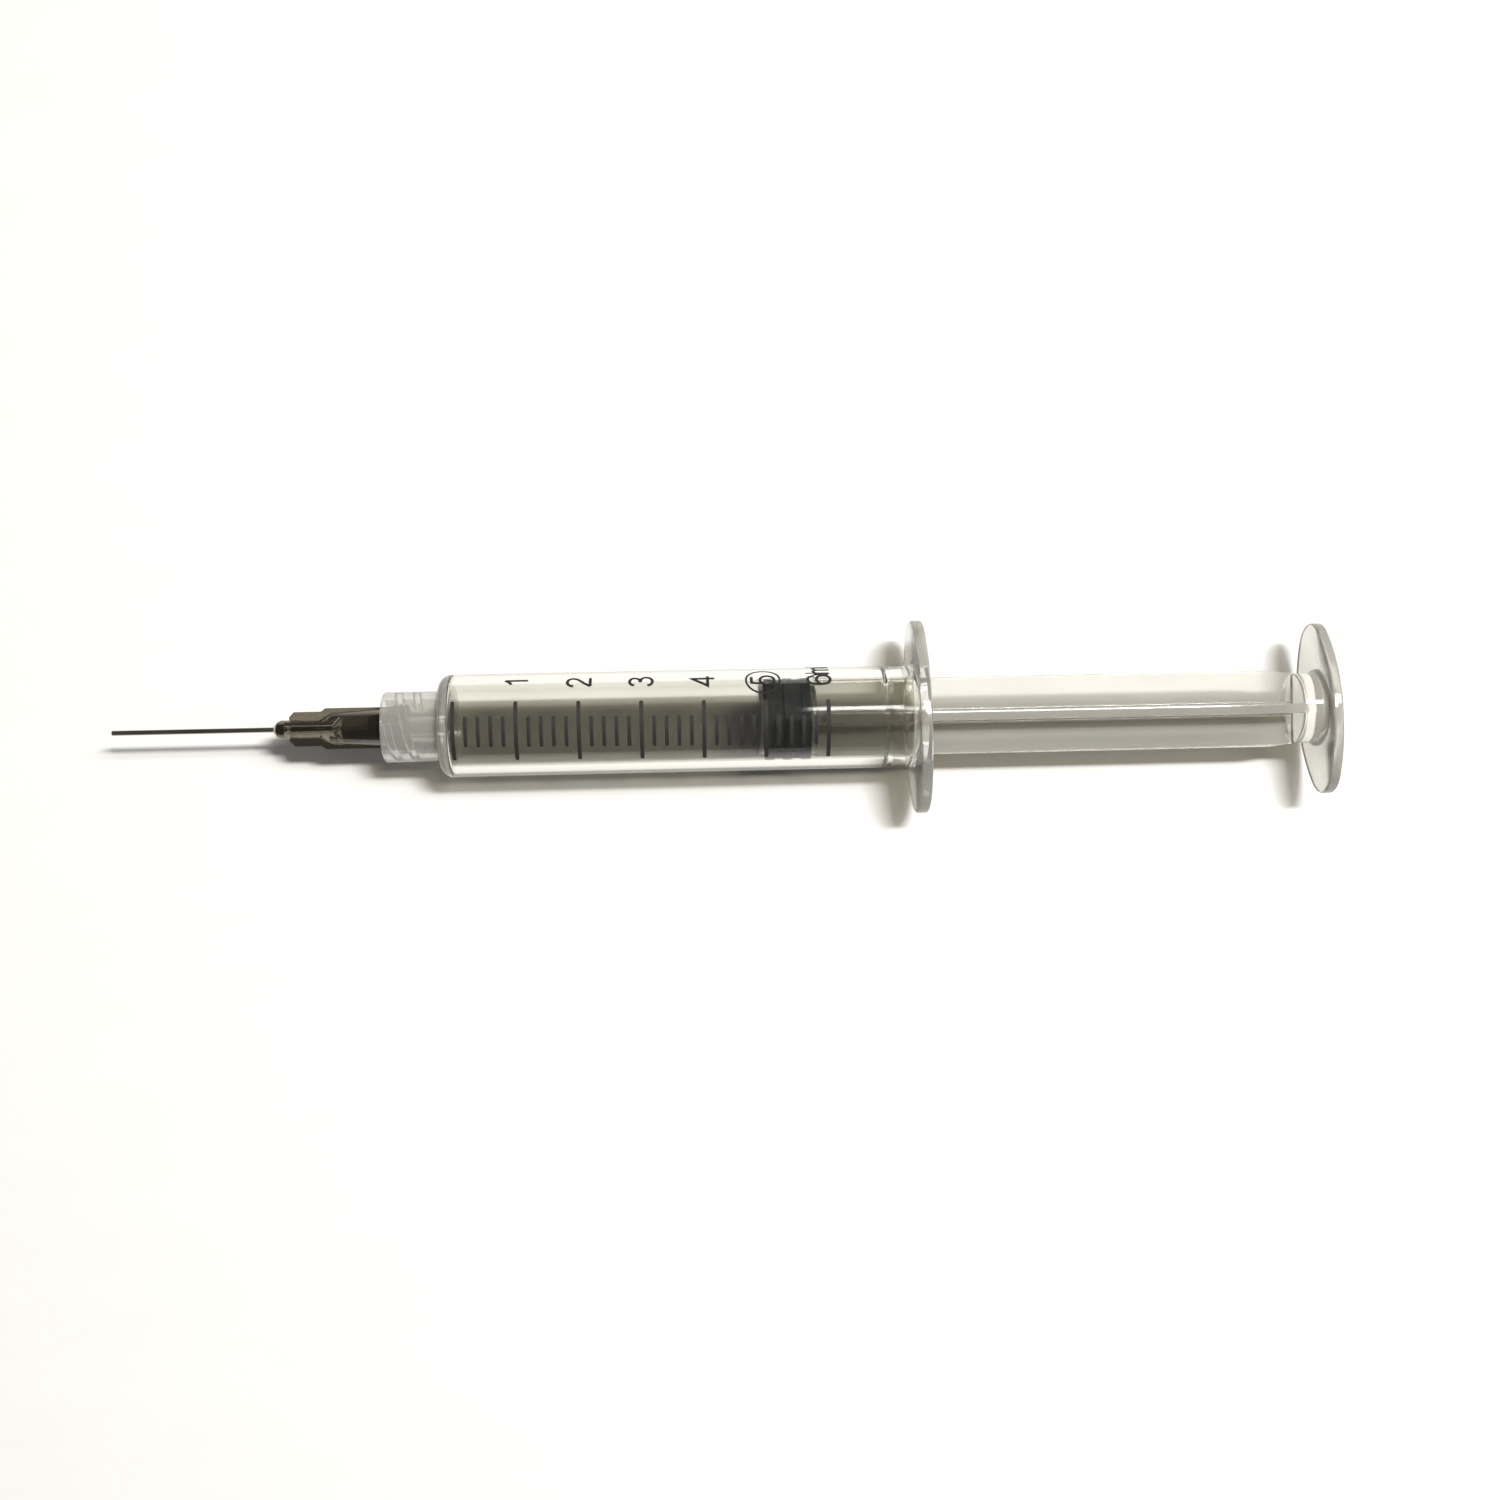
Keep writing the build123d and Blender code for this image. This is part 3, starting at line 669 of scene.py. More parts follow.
def smoky_plastic():
    """Dark brown, see-through plastic of the hub."""
    base = colours().smoke
    return finish_material(
        "smoky_polypropylene", base, scaled(base, 0.9),
        dust=0.25, polished=0.08, dulled=0.2, streaks=0.6, relief=0.008,
        fixed={"Transmission Weight": 0.96, "IOR": POLYPROPYLENE}, shadow=(0.16, 0.14, 0.11),
    )


def black_rubber():
    """Smooth black rubber with a faint sheen."""
    base = colours().rubber
    return finish_material(
        "black_rubber", base, scaled(base, 1.6),
        dust=0.3, polished=0.1, dulled=0.2, streaks=0.3, relief=0.001,
        fixed={"IOR": RUBBER, "Specular IOR Level": 0.15},
    )


def black_ink():
    """Dull screen-printed ink."""
    base = colours().ink
    return finish_material(
        "black_ink", base, scaled(base, 2.0),
        dust=0.2, polished=0.45, dulled=0.6, streaks=0.2, relief=0.0005,
        fixed={"IOR": INK, "Specular IOR Level": 0.0},
    )


def drawn_steel():
    """Drawn tube, with fine lines along it."""
    base = colours().steel
    return finish_material(
        "drawn_steel", base, scaled(base, 0.75),
        dust=0.2, polished=0.2, dulled=0.36, streaks=1.6, relief=0.006,
        fixed={"Metallic": 1.0},
    )


def cured_glue():
    """Clear, faintly yellow adhesive."""
    base = colours().glue
    return finish_material(
        "cured_glue", base, scaled(base, 0.9),
        dust=0.1, polished=0.05, dulled=0.12, streaks=0.0, relief=0.01,
        fixed={"Transmission Weight": 0.9, "IOR": GLUE}, shadow=(0.5, 0.45, 0.38),
    )


def paper():
    """Dull white paper of the floor."""
    base = colours().floor
    return finish_material(
        "paper_floor", base, scaled(base, 0.985),
        dust=0.05, polished=0.75, dulled=0.9, streaks=0.2, relief=0.01,
        fixed={"Specular IOR Level": 0.2},
    )


# ---------------------------------------------------------------- pieces

def settled(piece, body, slot, *nodes):
    """Faces outward, edges crisp, riding on its body in place of its CAD nodes, if it has any."""
    outward(piece).data.set_sharp_from_angle(angle=CRISP_ANGLE)
    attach(piece, body)
    if nodes:
        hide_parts(*nodes)
    return piece


def barrel_places():
    """Named places along the barrel, from its front to its back."""
    size = sizes()
    tip, back, half_length, half_height = spans("barrel")
    rim = tip + size.nozzle_past_collar
    shoulder = rim + size.collar_length
    flange = back - size.flange_thickness
    return {
        "tip": tip, "rim": rim, "shoulder": shoulder, "bore_end": shoulder + size.front_wall,
        "flange": flange, "bead": flange - size.bead_to_flange, "back": back,
        "half_length": half_length, "half_height": half_height,
    }


def make_barrel():
    """Barrel, collar, nozzle and flange as one skin.

    The profile runs from the nozzle's channel round the outside to the bore and back. Where its weight is
    1 the radius is the flange's oval at that angle, and inside the collar the radius loses the height of
    the helical ridges.
    """
    size, at = sizes(), barrel_places()
    edge, mouth = size.plate_edge_round, size.mouth_chamfer
    nominal = BARREL_RADIUS + 4 * size.flange_root_round   # edge of the flange before it becomes oval
    profile = rounded([
        (at["tip"], size.channel_radius, NOZZLE_EDGE, 0),
        (at["tip"], size.nozzle_tip_radius, NOZZLE_EDGE, 0),
        (at["shoulder"], size.nozzle_root_radius, NOZZLE_ROOT, 0),
        (at["shoulder"], size.thread_root_radius, NOZZLE_ROOT, 0),
        (at["rim"], size.thread_root_radius, COLLAR_MOUTH, 0),
        (at["rim"], size.collar_radius, COLLAR_EDGE, 0),
        (at["shoulder"], size.collar_radius, COLLAR_ROOT, 0),
        (at["shoulder"], BARREL_RADIUS, size.shoulder_round, 0),
        (at["flange"], BARREL_RADIUS, size.flange_root_round, 0),
        (at["flange"], nominal, edge, 1),
        (at["back"], nominal, edge, 1),
        (at["back"], size.bore_radius + mouth, 0, 0),
        (at["back"] - mouth, size.bore_radius, 0, 0),
        (at["bead"] + size.bead_width, size.bore_radius, BEAD_FOOT, 0),
        (at["bead"] + size.bead_width / 2, size.bore_radius - size.bead_height, BEAD_TOP, 0),
        (at["bead"], size.bore_radius, BEAD_FOOT, 0),
        (at["bore_end"], size.bore_radius, BORE_END_ROUND, 0),
        (at["bore_end"], size.channel_radius, CHANNEL_EDGE, 0),
    ], steps=7)
    in_collar = np.isclose(profile[:, 1], size.thread_root_radius, atol=HAIR)
    profile = densified(densified_where(profile, in_collar, THREAD_STEP), BARREL_STEP)
    angle = full_turn(size.round_steps)
    x, radius, weight = (profile[:, [column]] for column in range(3))
    oval = oval_radius(angle, at["half_length"], at["half_height"], size.flange_end_radius)
    ridges = helix_bump(
        x, angle, at["rim"] + size.thread_to_rim, size.thread_sweep, size.thread_lead,
        THREAD_STARTS, size.thread_root_width, size.thread_crest_width,
    )
    threaded = np.isclose(radius, size.thread_root_radius, atol=HAIR)
    radius = radius + weight * (oval - nominal)
    radius = radius - threaded * ridges * (size.thread_root_radius - size.thread_crest_radius)
    piece = ring_skin("barrel_moulding", x, radius, angle, clear_plastic())
    piece.data.materials.append(cloudy_plastic())
    settled(piece, "barrel", "barrel_plastic", "barrel")
    for face in piece.data.polygons:
        thick = not at["bore_end"] < face.center.x < at["flange"] - size.flange_root_round
        face.material_index = int(thick)
    return piece


def make_stopper():
    """Rubber sleeve: a closed profile with rounded sealing ribs, turned about X."""
    size = sizes()
    front, back, outer, _ = spans("stopper")
    core, half = outer - size.stopper_rib_height, size.stopper_rib_width / 2
    first_rib, step = front + half, (back - front - 2 * half) / (STOPPER_RIBS - 1)
    corners = [(front, size.stopper_hole_radius, RUBBER_HOLE_EDGE, 0)]
    for index in range(STOPPER_RIBS):
        middle = first_rib + index * step
        if index:
            corners.append((middle - half, core, RUBBER_EDGE, 0))
        corners.append((middle - half, outer, RUBBER_EDGE, 0))
        corners.append((middle + half, outer, RUBBER_EDGE, 0))
        if index < STOPPER_RIBS - 1:
            corners.append((middle + half, core, RUBBER_EDGE, 0))
    corners.append((back, size.stopper_hole_radius, RUBBER_HOLE_EDGE, 0))
    profile = rounded(corners, steps=5)
    piece = turned_skin("stopper_sleeve", profile, 192, black_rubber())
    return settled(piece, "stopper", "black_rubber", "stopper")


def cross_section(thickness, reach, edge_round, root_round):
    """Angles and radii of half a rib, from its middle line to halfway to the next rib, in 29 points.

    The tip is an arc about the axis, a corner arc joins it to the flat side, and a root arc joins the side
    to the diagonal between two ribs.
    """
    half = thickness / 2
    tip_turn = math.asin((half - edge_round) / (reach - edge_round))
    tip = np.linspace(0, tip_turn, 5)[:-1]
    points = [np.stack([reach * np.cos(tip), reach * np.sin(tip)], 1)]
    centre = (reach - edge_round) * np.array([math.cos(tip_turn), math.sin(tip_turn)])
    corner = np.linspace(tip_turn, math.pi / 2, 5)
    points.append(centre + edge_round * np.stack([np.cos(corner), np.sin(corner)], 1))
    along = np.geomspace(centre[0], half + root_round, 18)[1:-1]
    points.append(np.stack([along, np.full(along.size, half)], 1))
    root = np.linspace(-math.pi / 2, -math.pi * 3 / 4, 5)
    points.append(half + root_round + root_round * np.stack([np.cos(root), np.sin(root)], 1))
    outline = np.vstack(points)
    return np.arctan2(outline[:, 1], outline[:, 0]), np.hypot(outline[:, 0], outline[:, 1])


def folded(angle, sectors):
    """Angle from the nearest of some evenly spaced directions."""
    sector = TURN / sectors
    return np.abs(np.mod(angle + sector / 2, sector) - sector / 2)


def make_plunger_rod():
    """Rod as one skin: heads and neck, four ribs, boss and oval thumb rest, row by row along X.

    A row's radius is the circle of the profile, the rib section scaled to the row's reach, or the oval of
    the thumb rest where the profile's weight is 1.
    """
    size = sizes()
    front, back, half_length, half_height = spans("plunger_rod")
    _, stopper_back, _, _ = spans("stopper")
    heads_end = stopper_back + size.head_thickness
    thumb = back - size.thumb_thickness
    boss = thumb - size.boss_length
    taper = boss - size.rib_taper_length
    section_angle, section_radius = cross_section(
        size.rib_thickness, size.rib_radius, size.rib_edge_round, size.rib_root_round
    )
    near = np.concatenate([section_angle, -section_angle[::-1]])
    turns = full_turn(RIB_COUNT) + size.rib_turn
    angle = np.mod((turns[:, None] + near[None, :]).ravel(), TURN)
    between = full_turn(220)
    between = between[np.abs(between[:, None] - angle[None, :]).min(1) > POINT_SPACING]
    angle = np.unique(np.round(np.concatenate([angle, between]), 5))
    from_rib = folded(angle - size.rib_turn, RIB_COUNT)
    rib = np.interp(from_rib, section_angle, section_radius)
    on_side = (from_rib > section_angle[SIDE_FIRST]) & (from_rib < section_angle[SIDE_LAST])
    rib = np.where(on_side, size.rib_thickness / 2 / np.sin(np.maximum(from_rib, 0.01)), rib)

    heads = rounded([
        (front, CORE_RADIUS, 0, 0), (front, size.head_radius, HEAD_EDGE, 0),
        (front + size.head_thickness, size.head_radius, HEAD_EDGE, 0),
        (front + size.head_thickness, size.neck_radius, NECK_ROOT, 0),
        (stopper_back, size.neck_radius, NECK_ROOT, 0),
        (stopper_back, size.head_radius, HEAD_EDGE, 0),
        (heads_end, size.head_radius, HEAD_EDGE, 0),
        (heads_end, size.neck_radius, 0, 0),
    ], steps=5)
    nominal = size.boss_radius + 3 * size.boss_round   # edge of the thumb rest before it becomes oval
    thumb_end = rounded([
        (boss, size.neck_radius, 0, 0), (boss, size.boss_radius, BOSS_EDGE, 0),
        (thumb, size.boss_radius, size.boss_round, 0), (thumb, nominal, size.plate_edge_round, 1),
        (back, nominal, size.plate_edge_round, 1), (back, CORE_RADIUS, 0, 0),
    ], steps=7)
    heads, thumb_end = heads[:-1], thumb_end[1:]
    oval = oval_radius(angle, half_length, half_height, size.thumb_end_radius)
    head_rows = np.repeat(heads[:, [1]], angle.size, 1)
    rib_x = np.concatenate([np.linspace(heads_end, taper, 9), np.linspace(taper, boss, 5)[1:]])
    reach = np.interp(rib_x, [heads_end, taper, boss], [size.rib_radius, size.rib_radius, size.boss_radius])
    rib_rows = np.minimum(rib, reach[:, None])
    thumb_rows = thumb_end[:, [1]] + thumb_end[:, [2]] * (oval - nominal)
    in_front = thumb_end[:, 0] < boss + BOSS_FRONT_ZONE
    thumb_rows[in_front] = np.maximum(thumb_rows[in_front], rib_rows[-1])
    x = np.concatenate([heads[:, 0], rib_x, thumb_end[:, 0]])[:, None]
    radius = np.vstack([head_rows, rib_rows, thumb_rows])
    piece = capped_skin("plunger_moulding", x, radius, angle, rod_plastic())
    return settled(piece, "plunger_rod", "rod_plastic", "plunger_rod")


def make_needle_hub():
    """Hub as one skin: the larger of the turned body and the fins at each angle, with a lugged collar.

    A fin's side is flat, so its radius at an angle from the fin's middle is half its thickness over the
    angle's sine, up to the reach of the fin's stepped outline at that x.
    """
    size = sizes()
    tip, mouth, _, _ = spans("needle_hub")
    at = barrel_places()
    lug_start = at["rim"] + size.thread_to_rim + size.thread_lead / THREAD_STARTS / 2
    collar = mouth - size.hub_collar_length
    cone = mouth - size.hub_cone_length
    flare = cone - size.hub_flare_length
    cavity = mouth - size.hub_cavity_depth
    step = collar - size.fin_back_length
    fin_front = step - size.fin_front_length
    slope = (size.nozzle_root_radius - size.nozzle_tip_radius) / (
        size.nozzle_past_collar + size.collar_length
    )
    mouth_radius = size.nozzle_tip_radius + slope * (mouth - at["tip"]) + size.luer_gap
    hole = size.tube_hole_radius
    outside = rounded([
        (tip, size.hub_nose_radius - size.hub_nose_chamfer / 2, HUB_TIP_EDGE, 0),
        (tip + size.hub_nose_chamfer, size.hub_nose_radius, HUB_NOSE_EDGE, 0),
        (flare, size.hub_nose_radius, FLARE_FOOT, 0), (cone, size.hub_shoulder_radius, FLARE_TOP, 0),
        (collar, size.hub_base_radius, 0, 0), (collar, size.hub_collar_radius, HUB_RIM_EDGE, 0),
        (mouth, size.hub_collar_radius, HUB_RIM_EDGE, 0), (mouth, mouth_radius, SOCKET_EDGE, 0),
        (cavity, mouth_radius - slope * size.hub_cavity_depth, SOCKET_END, 0),
        (cavity - size.hub_funnel_length, hole, FUNNEL_END, 0),
        (tip + size.glue_well_depth, hole, 0, 0), (tip + size.glue_well_depth, size.glue_well_radius, 0, 0),
        (tip, size.glue_well_radius, WELL_EDGE, 0),
    ], steps=6)
    fin_places = np.array([
        fin_front, fin_front + FIN_LIP, fin_front + size.fin_chamfer, step - size.fin_thickness,
        step, collar - FIN_LIP,
    ])
    fin_reach = np.array([
        0, size.fin_front_radius - size.fin_chamfer, size.fin_front_radius, size.fin_front_radius,
        size.fin_back_radius, size.fin_back_radius,
    ])
    on_collar = int(np.argmax(outside[:, 0] >= collar))
    body, rest = outside[:on_collar + 1], outside[on_collar + 1:]
    body_x = np.unique(np.concatenate([body[:, 0], fin_places, np.linspace(cone, collar, 6)]))
    body_radius = np.interp(body_x, body[:, 0], body[:, 1])
    body_rows = np.stack([body_x, body_radius, np.zeros(body_x.size)], 1)
    on_band = np.isclose(rest[:, 1], size.hub_collar_radius, atol=HAIR)
    profile = np.vstack([body_rows, densified_where(rest, on_band, LUG_STEP)])
    # Degrees from a fin's middle, closest together where its flat side meets the hub.
    near = np.concatenate([
        np.linspace(0, 5.9, 4),
        np.degrees(np.arcsin(size.fin_thickness / 2 / fin_reach[[4, 2]])),
        np.linspace(8, 15.5, 13), np.linspace(17.5, 45, 11),
    ])
    near = np.radians(np.concatenate([near, -near]))
    turns = full_turn(FIN_COUNT) + size.fin_turn
    angle = np.unique(np.round(np.mod((turns[:, None] + near[None, :]).ravel(), TURN), 5))
    x, radius = profile[:, [0]], profile[:, [1]]
    reach = np.interp(x, fin_places, fin_reach, left=0, right=0)
    reach = np.where(np.arange(len(profile))[:, None] < body_x.size, reach, 0)
    sine = np.maximum(np.sin(folded(angle - size.fin_turn, FIN_COUNT)), 1e-6)
    fins = np.minimum(reach, size.fin_thickness / 2 / sine)
    lugs = helix_bump(
        x, angle, lug_start, size.lug_sweep, size.thread_lead, THREAD_STARTS,
        size.lug_root_width, size.lug_crest_width,
    )
    on_band = np.isclose(radius, size.hub_collar_radius, atol=HAIR)
    radius = np.maximum(radius, fins) + on_band * lugs * (size.lug_radius - size.hub_collar_radius)
    piece = ring_skin("hub_moulding", x, radius, angle, smoky_plastic())
    return settled(piece, "needle_hub", "smoky_plastic", "needle_hub")


def make_cannula():
    """Steel tube: a closed profile with eased tip edges, turned about X."""
    size = sizes()
    tip, back, outer, _ = spans("cannula")
    bore, bonded = size.cannula_bore_radius, outer - size.tube_grind
    glue_front = spans("adhesive_bead")[0]
    profile = densified(rounded([
        (tip, bore, TUBE_CORNER, 0), (tip, outer, TUBE_EDGE, 0), (glue_front, outer, 0, 0),
        (glue_front + size.tube_grind_taper, bonded, 0, 0), (back, bonded, TUBE_CORNER, 0),
        (back, bore, TUBE_CORNER, 0),
    ], steps=4), TUBE_STEP)
    piece = turned_skin("needle_tube", profile, 64, drawn_steel())
    return settled(piece, "needle", "needle_steel", "cannula")


def make_glue():
    """Glue bead: fills the hub's well and domes in front of it, a closed profile turned about X."""
    size = sizes()
    front, back, outer, _ = spans("adhesive_bead")
    hub_tip = spans("needle_hub")[0]
    tube = spans("cannula")[2]
    bonded = tube - size.tube_grind
    rise = np.linspace(0, math.pi / 2, 12)
    dome_x = hub_tip - (hub_tip - front) * np.sin(rise)
    dome_radius = tube + (outer - tube) * np.cos(rise)
    profile = np.vstack([
        [[back, bonded], [back, outer]], np.stack([dome_x, dome_radius], 1),
        [[front + size.tube_grind_taper, bonded]],
    ])
    piece = turned_skin("glue_bead", profile, 64, cured_glue())
    return settled(piece, "needle", "cured_glue", "adhesive_bead")


def ink_section():
    """Radii of the four points round a print's section: low, high, high and low again."""
    low, high = BARREL_RADIUS + INK_LIFT, BARREL_RADIUS + sizes().ink_thickness
    return np.array([low, high, high, low])


def print_turn(x):
    """Angle of the middle of the printed lines at x: the print runs slightly round the barrel."""
    return sizes().mark_centre + sizes().print_skew * x


def ink_strip(middle_x, width, centre, sweep):
    """One printed line: rows of four points across the line, carried round the barrel.

    The half width shrinks as an ellipse over the last stretch at each end, so that the ends are round.
    """
    ease = END_LENGTH * width / BARREL_RADIUS
    along = np.concatenate([
        -sweep / 2 + ease * (1 - np.cos(np.linspace(0, math.pi / 2, 6))),
        np.linspace(-sweep / 2 + ease, sweep / 2 - ease, 24)[1:-1],
        sweep / 2 - ease * (1 - np.cos(np.linspace(math.pi / 2, 0, 6))),
    ])
    from_end = np.clip((sweep / 2 - np.abs(along)) / ease, 0, 1)
    half = width / 2 * (END_WIDTH + (1 - END_WIDTH) * np.sqrt(1 - (1 - from_end) ** 2))
    across = np.array([-1, -1, 1, 1])
    return about_axis(middle_x + across * half[:, None], ink_section(), (centre + along)[:, None])


def print_piece(name, ribbons, rings=(), nodes=()):
    """One piece of ink: ribbons are rows of four points, closed by a quad at each end, and rings join up."""
    points, faces, used = [], [], 0
    for strip, closed in [(ribbon, False) for ribbon in ribbons] + [(ring, True) for ring in rings]:
        rows, columns = strip.shape[:2]
        faces += (grid_faces(rows, columns, rows_closed=closed) + used).tolist()
        if not closed:
            end = used + columns * (rows - 1)
            faces += [[used, used + 1, used + 2, used + 3], [end + 3, end + 2, end + 1, end]]
        points.append(strip.reshape(-1, 3))
        used += rows * columns
    return settled(put_mesh(name, np.vstack(points), faces, black_ink()), "barrel", "black_ink", *nodes)


def make_scale_lines():
    """Graduation lines, one printed strip each, in one piece."""
    size = sizes()
    steps = MARKED_VOLUME * MINOR_MARKS
    spacing = ML_STEP / size.bore_radius**2 / MINOR_MARKS
    ribbons = []
    for index in range(steps + 1):
        major = index % MINOR_MARKS == 0
        width = size.major_mark_width if major else size.minor_mark_width
        sweep = size.major_mark_sweep if major else size.minor_mark_sweep
        ribbons.append(ink_strip(index * spacing, width, print_turn(index * spacing), sweep))
    return print_piece("scale_lines", ribbons, nodes=("scale_marks",))


def spline(points, parts=7):
    """Curve through the points: between two of them a cubic whose slopes are half the neighbours' span."""
    points = np.array(points, float)
    ends = 2 * points[[0, -1]] - points[[1, -2]]
    padded = np.vstack([ends[:1], points, ends[1:]])
    slopes = (padded[2:] - padded[:-2]) / 2
    t = (np.arange(parts) / parts)[:, None]
    rows = [
        (2 * t**3 - 3 * t**2 + 1) * a + (t**3 - 2 * t**2 + t) * slope_a
        + (3 * t**2 - 2 * t**3) * b + (t**3 - t**2) * slope_b
        for a, b, slope_a, slope_b in zip(points[:-1], points[1:], slopes[:-1], slopes[1:])
    ]
    return np.vstack(rows + [points[-1:]])


def stroke(path, middle_x, centre, width):
    """Ink ribbon along a path of (across, up) lengths, laid on the barrel: up is -X, across goes to +Y.

    Four points surround each place of the path: half the width to either side along the path's normal,
    widened at corners, below and on top of the ink.
    """
    step = np.diff(path, axis=0)
    step = step / np.linalg.norm(step, axis=1)[:, None]
    before, after = np.vstack([step[:1], step]), np.vstack([step, step[-1:]])
    along = before + after
    along = along / np.linalg.norm(along, axis=1)[:, None]
    corner = np.maximum(np.sum(along * before, 1), 0.5)
    normal = np.stack([-along[:, 1], along[:, 0]], 1) / corner[:, None]
    side = np.array([-0.5, -0.5, 0.5, 0.5])[None, :, None] * width
    place = path[:, None, :] + side * normal[:, None, :]
    return about_axis(middle_x - place[..., 1], ink_section(), centre - place[..., 0] / BARREL_RADIUS)


def glyph_strokes(character, height, middle_x, centre, width):
    """Ribbons of one digit or letter, centred at middle_x and at the angle centre."""
    strokes = [
        spline(points) if curved else densified(np.array(points, float), LETTER_STRIP / height, closed=False)
        for curved, points in GLYPHS[character]
    ]
    everything = np.vstack(strokes)
    middle = (everything.max(0)[0] + everything.min(0)[0]) / 2, 0.5
    return [stroke((path - middle) * height, middle_x, centre, width) for path in strokes]


def ink_ring(middle_x, centre, reach, width):
    """Thin printed ring: a four-sided tube that goes round a circle, laid on the barrel."""
    place = full_turn(96)[:, None]
    across = np.array([-0.5, -0.5, 0.5, 0.5]) * width
    x = middle_x + (reach + across) * np.cos(place)
    arc = (reach + across) * np.sin(place) / BARREL_RADIUS
    return about_axis(x, ink_section(), centre + arc)


def make_numerals():
    """Digits beside the whole millilitres, a ring round the full mark's digit, and the unit."""
    size = sizes()
    spacing = ML_STEP / size.bore_radius**2
    shifts = {RINGED_VOLUME: size.ringed_shift, MARKED_VOLUME: size.unit_shift}
    ribbons, rings = [], []
    for value in range(1, MARKED_VOLUME + 1):
        place = value * spacing - shifts.get(value, 0.0)
        centre = print_turn(place) + size.numeral_centre
        ribbons += glyph_strokes(str(value), size.numeral_height, place, centre, size.numeral_stroke)
        if value == RINGED_VOLUME:
            rings.append(ink_ring(place, centre, size.ring_radius, size.ring_stroke))
    for letter, gap in (("m", size.unit_gap), ("l", size.unit_gap + size.letter_gap)):
        across = centre - gap / BARREL_RADIUS
        ribbons += glyph_strokes(letter, size.numeral_height, place, across, size.numeral_stroke)
    return print_piece("scale_numerals", ribbons, rings)


# ---------------------------------------------------------------- stage

def area_light(name, across, power, place):
    """Soft light at place, facing the middle of the syringe, with its first side along X."""
    light = bpy.data.lights.new(name, "AREA")
    light.shape = "RECTANGLE"
    light.size, light.size_y = across
    light.energy = power
    light.color = LAMP_TINT
    lamp = bpy.data.objects.new(name, light)
    lamp.location = place
    back = (place - STAGE_MIDDLE).normalized()
    side = (Vector((1, 0, 0)) - back * back.x).normalized()
    lamp.rotation_euler = Matrix((side, back.cross(side), back)).transposed().to_euler()
    bpy.context.scene.collection.objects.link(lamp)


def make_floor(stage):
    """Square of plain floor under the syringe."""
    corners = np.array([(x, y, 0) for x, y in ((-1, -1), (1, -1), (1, 1), (-1, 1))]) * FLOOR_REACH
    corners[:, 2] = -stage.floor_drop
    floor = put_mesh("floor", corners, [(0, 1, 2, 3)], paper())


def make_room(stage):
    """Even light from all round, with a paler colour where the camera looks past the floor."""
    world = bpy.data.worlds.new("pale_room")
    world.use_nodes = True
    tree = world.node_tree
    room = tree.nodes["Background"]
    room.inputs["Color"].default_value = (*stage.room_colour, 1.0)
    room.inputs["Strength"].default_value = stage.room_strength
    backdrop = tree.nodes.new("ShaderNodeBackground")
    backdrop.inputs["Color"].default_value = (*BACKDROP, 1.0)
    rays = tree.nodes.new("ShaderNodeLightPath")
    mix = tree.nodes.new("ShaderNodeMixShader")
    link(tree, rays.outputs["Is Camera Ray"], mix.inputs["Fac"])
    link(tree, room.outputs["Background"], mix.inputs[1])
    link(tree, backdrop.outputs["Background"], mix.inputs[2])
    link(tree, mix.outputs["Shader"], tree.nodes["World Output"].inputs["Surface"])
    bpy.context.scene.world = world


def make_lights(stage):
    """A short bright lamp for the shadows and a long faint one for the lines of light on the plastic."""
    for name, across, power, lean, along, height in (
        ("main_light", (0.2, 0.05), stage.main_power, stage.main_turn, 0.25, 0.75),
        ("edge_light", (0.36, 0.075), stage.edge_power, stage.edge_turn, 0.23, 0.55),
    ):
        area_light(name, across, power, STAGE_MIDDLE + Vector((along, height * math.tan(lean), height)))


def make_camera(stage):
    """Camera above the syringe, a little turned."""
    scene = bpy.context.scene
    camera_data = bpy.data.cameras.new("camera")
    camera_data.lens = stage.lens
    camera_data.sensor_width = 36.0
    camera_data.clip_start = 0.005
    camera = bpy.data.objects.new("camera", camera_data)
    camera.location = stage.camera_place
    camera.rotation_euler = stage.camera_turn
    scene.collection.objects.link(camera)
    scene.camera = camera


def make_stage():
    """Floor, surroundings, lights, camera and how light is followed through clear plastic."""
    scene = bpy.context.scene
    for make in (make_floor, make_room, make_lights, make_camera):
        make(scene.syringe_stage)
    scene.view_settings.view_transform = "Standard"
    scene.view_settings.look = "None"
    scene.cycles.caustics_refractive = False
    scene.cycles.caustics_reflective = False
    scene.cycles.transmission_bounces = 24
    scene.cycles.max_bounces = 28
    scene.cycles.transparent_max_bounces = 24


# ---------------------------------------------------------------- add-on

class SYRINGE_OT_barrel(bpy.types.Operator):
    """Builds the barrel with its lock collar, nozzle and finger flange."""

    bl_idname = "syringe.barrel"
    bl_label = "Barrel"
    bl_options = {"REGISTER", "UNDO"}

    def execute(self, context):
        make_barrel()
        return {"FINISHED"}


class SYRINGE_OT_scale_print(bpy.types.Operator):
    """Prints the graduation lines and the numerals on the barrel."""

    bl_idname = "syringe.scale_print"
    bl_label = "Scale print"
    bl_options = {"REGISTER", "UNDO"}

    def execute(self, context):
        make_scale_lines()
        make_numerals()
        return {"FINISHED"}


class SYRINGE_OT_stopper(bpy.types.Operator):
    """Builds the rubber stopper."""

    bl_idname = "syringe.stopper"
    bl_label = "Stopper"
    bl_options = {"REGISTER", "UNDO"}

    def execute(self, context):
        make_stopper()
        return {"FINISHED"}


class SYRINGE_OT_plunger_rod(bpy.types.Operator):
    """Builds the plunger rod with its thumb rest."""

    bl_idname = "syringe.plunger_rod"
    bl_label = "Plunger rod"
    bl_options = {"REGISTER", "UNDO"}

    def execute(self, context):
        make_plunger_rod()
        return {"FINISHED"}


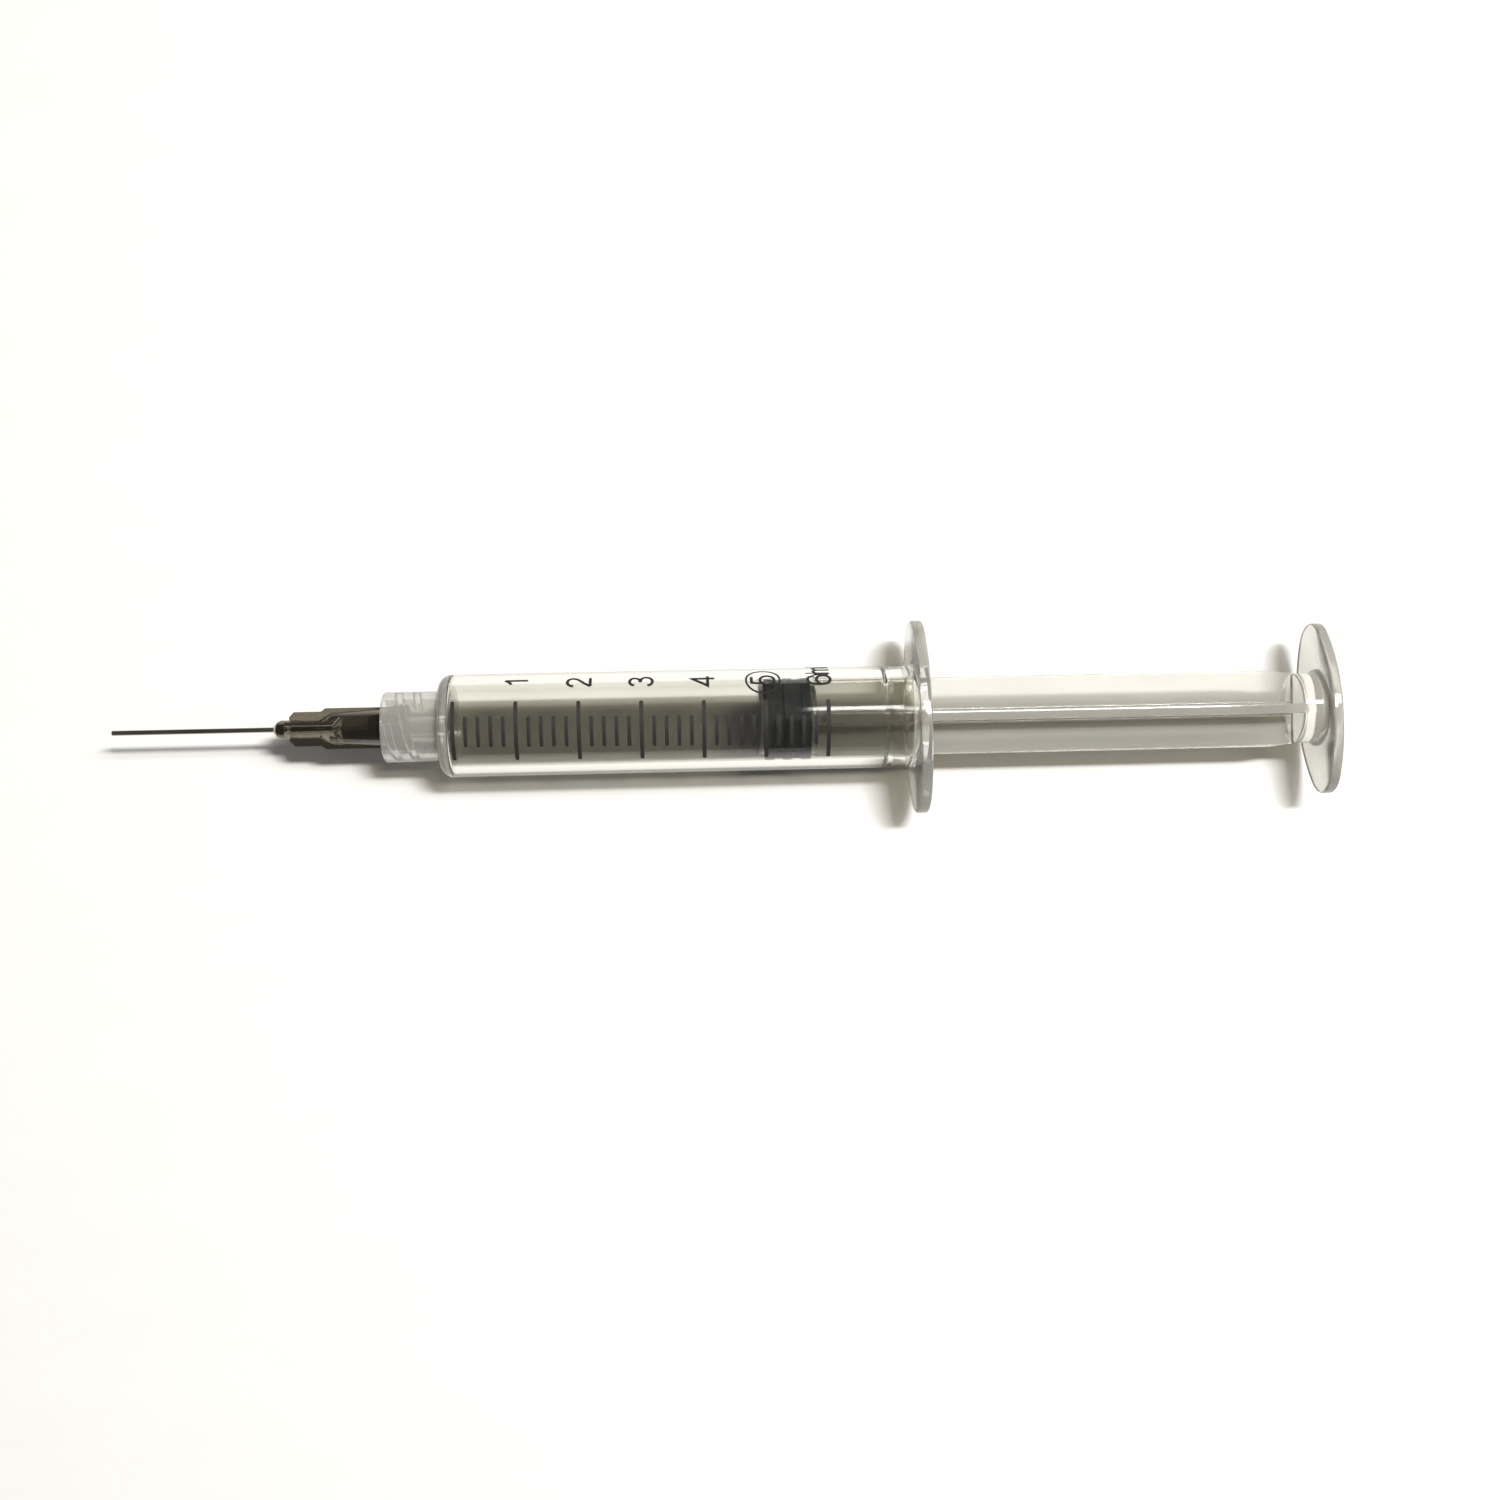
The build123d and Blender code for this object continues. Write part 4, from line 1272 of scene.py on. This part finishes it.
class SYRINGE_OT_needle_hub(bpy.types.Operator):
    """Builds the smoky hub with its fins and lugs."""

    bl_idname = "syringe.needle_hub"
    bl_label = "Needle hub"
    bl_options = {"REGISTER", "UNDO"}

    def execute(self, context):
        make_needle_hub()
        return {"FINISHED"}


class SYRINGE_OT_needle_tube(bpy.types.Operator):
    """Builds the steel tube and the glue that holds it."""

    bl_idname = "syringe.needle_tube"
    bl_label = "Needle tube"
    bl_options = {"REGISTER", "UNDO"}

    def execute(self, context):
        make_cannula()
        make_glue()
        return {"FINISHED"}


class SYRINGE_OT_stage(bpy.types.Operator):
    """Adds the floor, the surroundings, the lights and the camera."""

    bl_idname = "syringe.stage"
    bl_label = "Stage"
    bl_options = {"REGISTER", "UNDO"}

    def execute(self, context):
        make_stage()
        return {"FINISHED"}


STEPS = (
    SYRINGE_OT_barrel, SYRINGE_OT_scale_print, SYRINGE_OT_stopper, SYRINGE_OT_plunger_rod,
    SYRINGE_OT_needle_hub, SYRINGE_OT_needle_tube, SYRINGE_OT_stage,
)


class SYRINGE_PT_pieces(bpy.types.Panel):
    """Lists the steps that build the syringe, with their sizes and colours."""

    bl_label = "Luer-lock syringe"
    bl_idname = "SYRINGE_PT_pieces"
    bl_space_type = "VIEW_3D"
    bl_region_type = "UI"
    bl_category = "Syringe"

    def draw(self, context):
        for step in STEPS:
            self.layout.operator(step.bl_idname)
        scene = context.scene
        for group in (scene.syringe_sizes, scene.syringe_colours, scene.syringe_stage):
            box = self.layout.box()
            for name in group.__annotations__:
                box.prop(group, name)


CLASSES = (SyringeSizes, SyringeColours, SyringeStage, *STEPS, SYRINGE_PT_pieces)


def register():
    """Registers the classes and hangs the property groups on the scene."""
    for item in CLASSES:
        bpy.utils.register_class(item)
    bpy.types.Scene.syringe_sizes = PointerProperty(type=SyringeSizes)
    bpy.types.Scene.syringe_colours = PointerProperty(type=SyringeColours)
    bpy.types.Scene.syringe_stage = PointerProperty(type=SyringeStage)


def unregister():
    """Takes the property groups off the scene and unregisters the classes."""
    del bpy.types.Scene.syringe_sizes
    del bpy.types.Scene.syringe_colours
    del bpy.types.Scene.syringe_stage
    for item in reversed(CLASSES):
        bpy.utils.unregister_class(item)


def main():
    register()
    bpy.ops.syringe.barrel()
    bpy.ops.syringe.scale_print()
    bpy.ops.syringe.stopper()
    bpy.ops.syringe.plunger_rod()
    bpy.ops.syringe.needle_hub()
    bpy.ops.syringe.needle_tube()
    bpy.ops.syringe.stage()


if __name__ == "__main__":
    main()
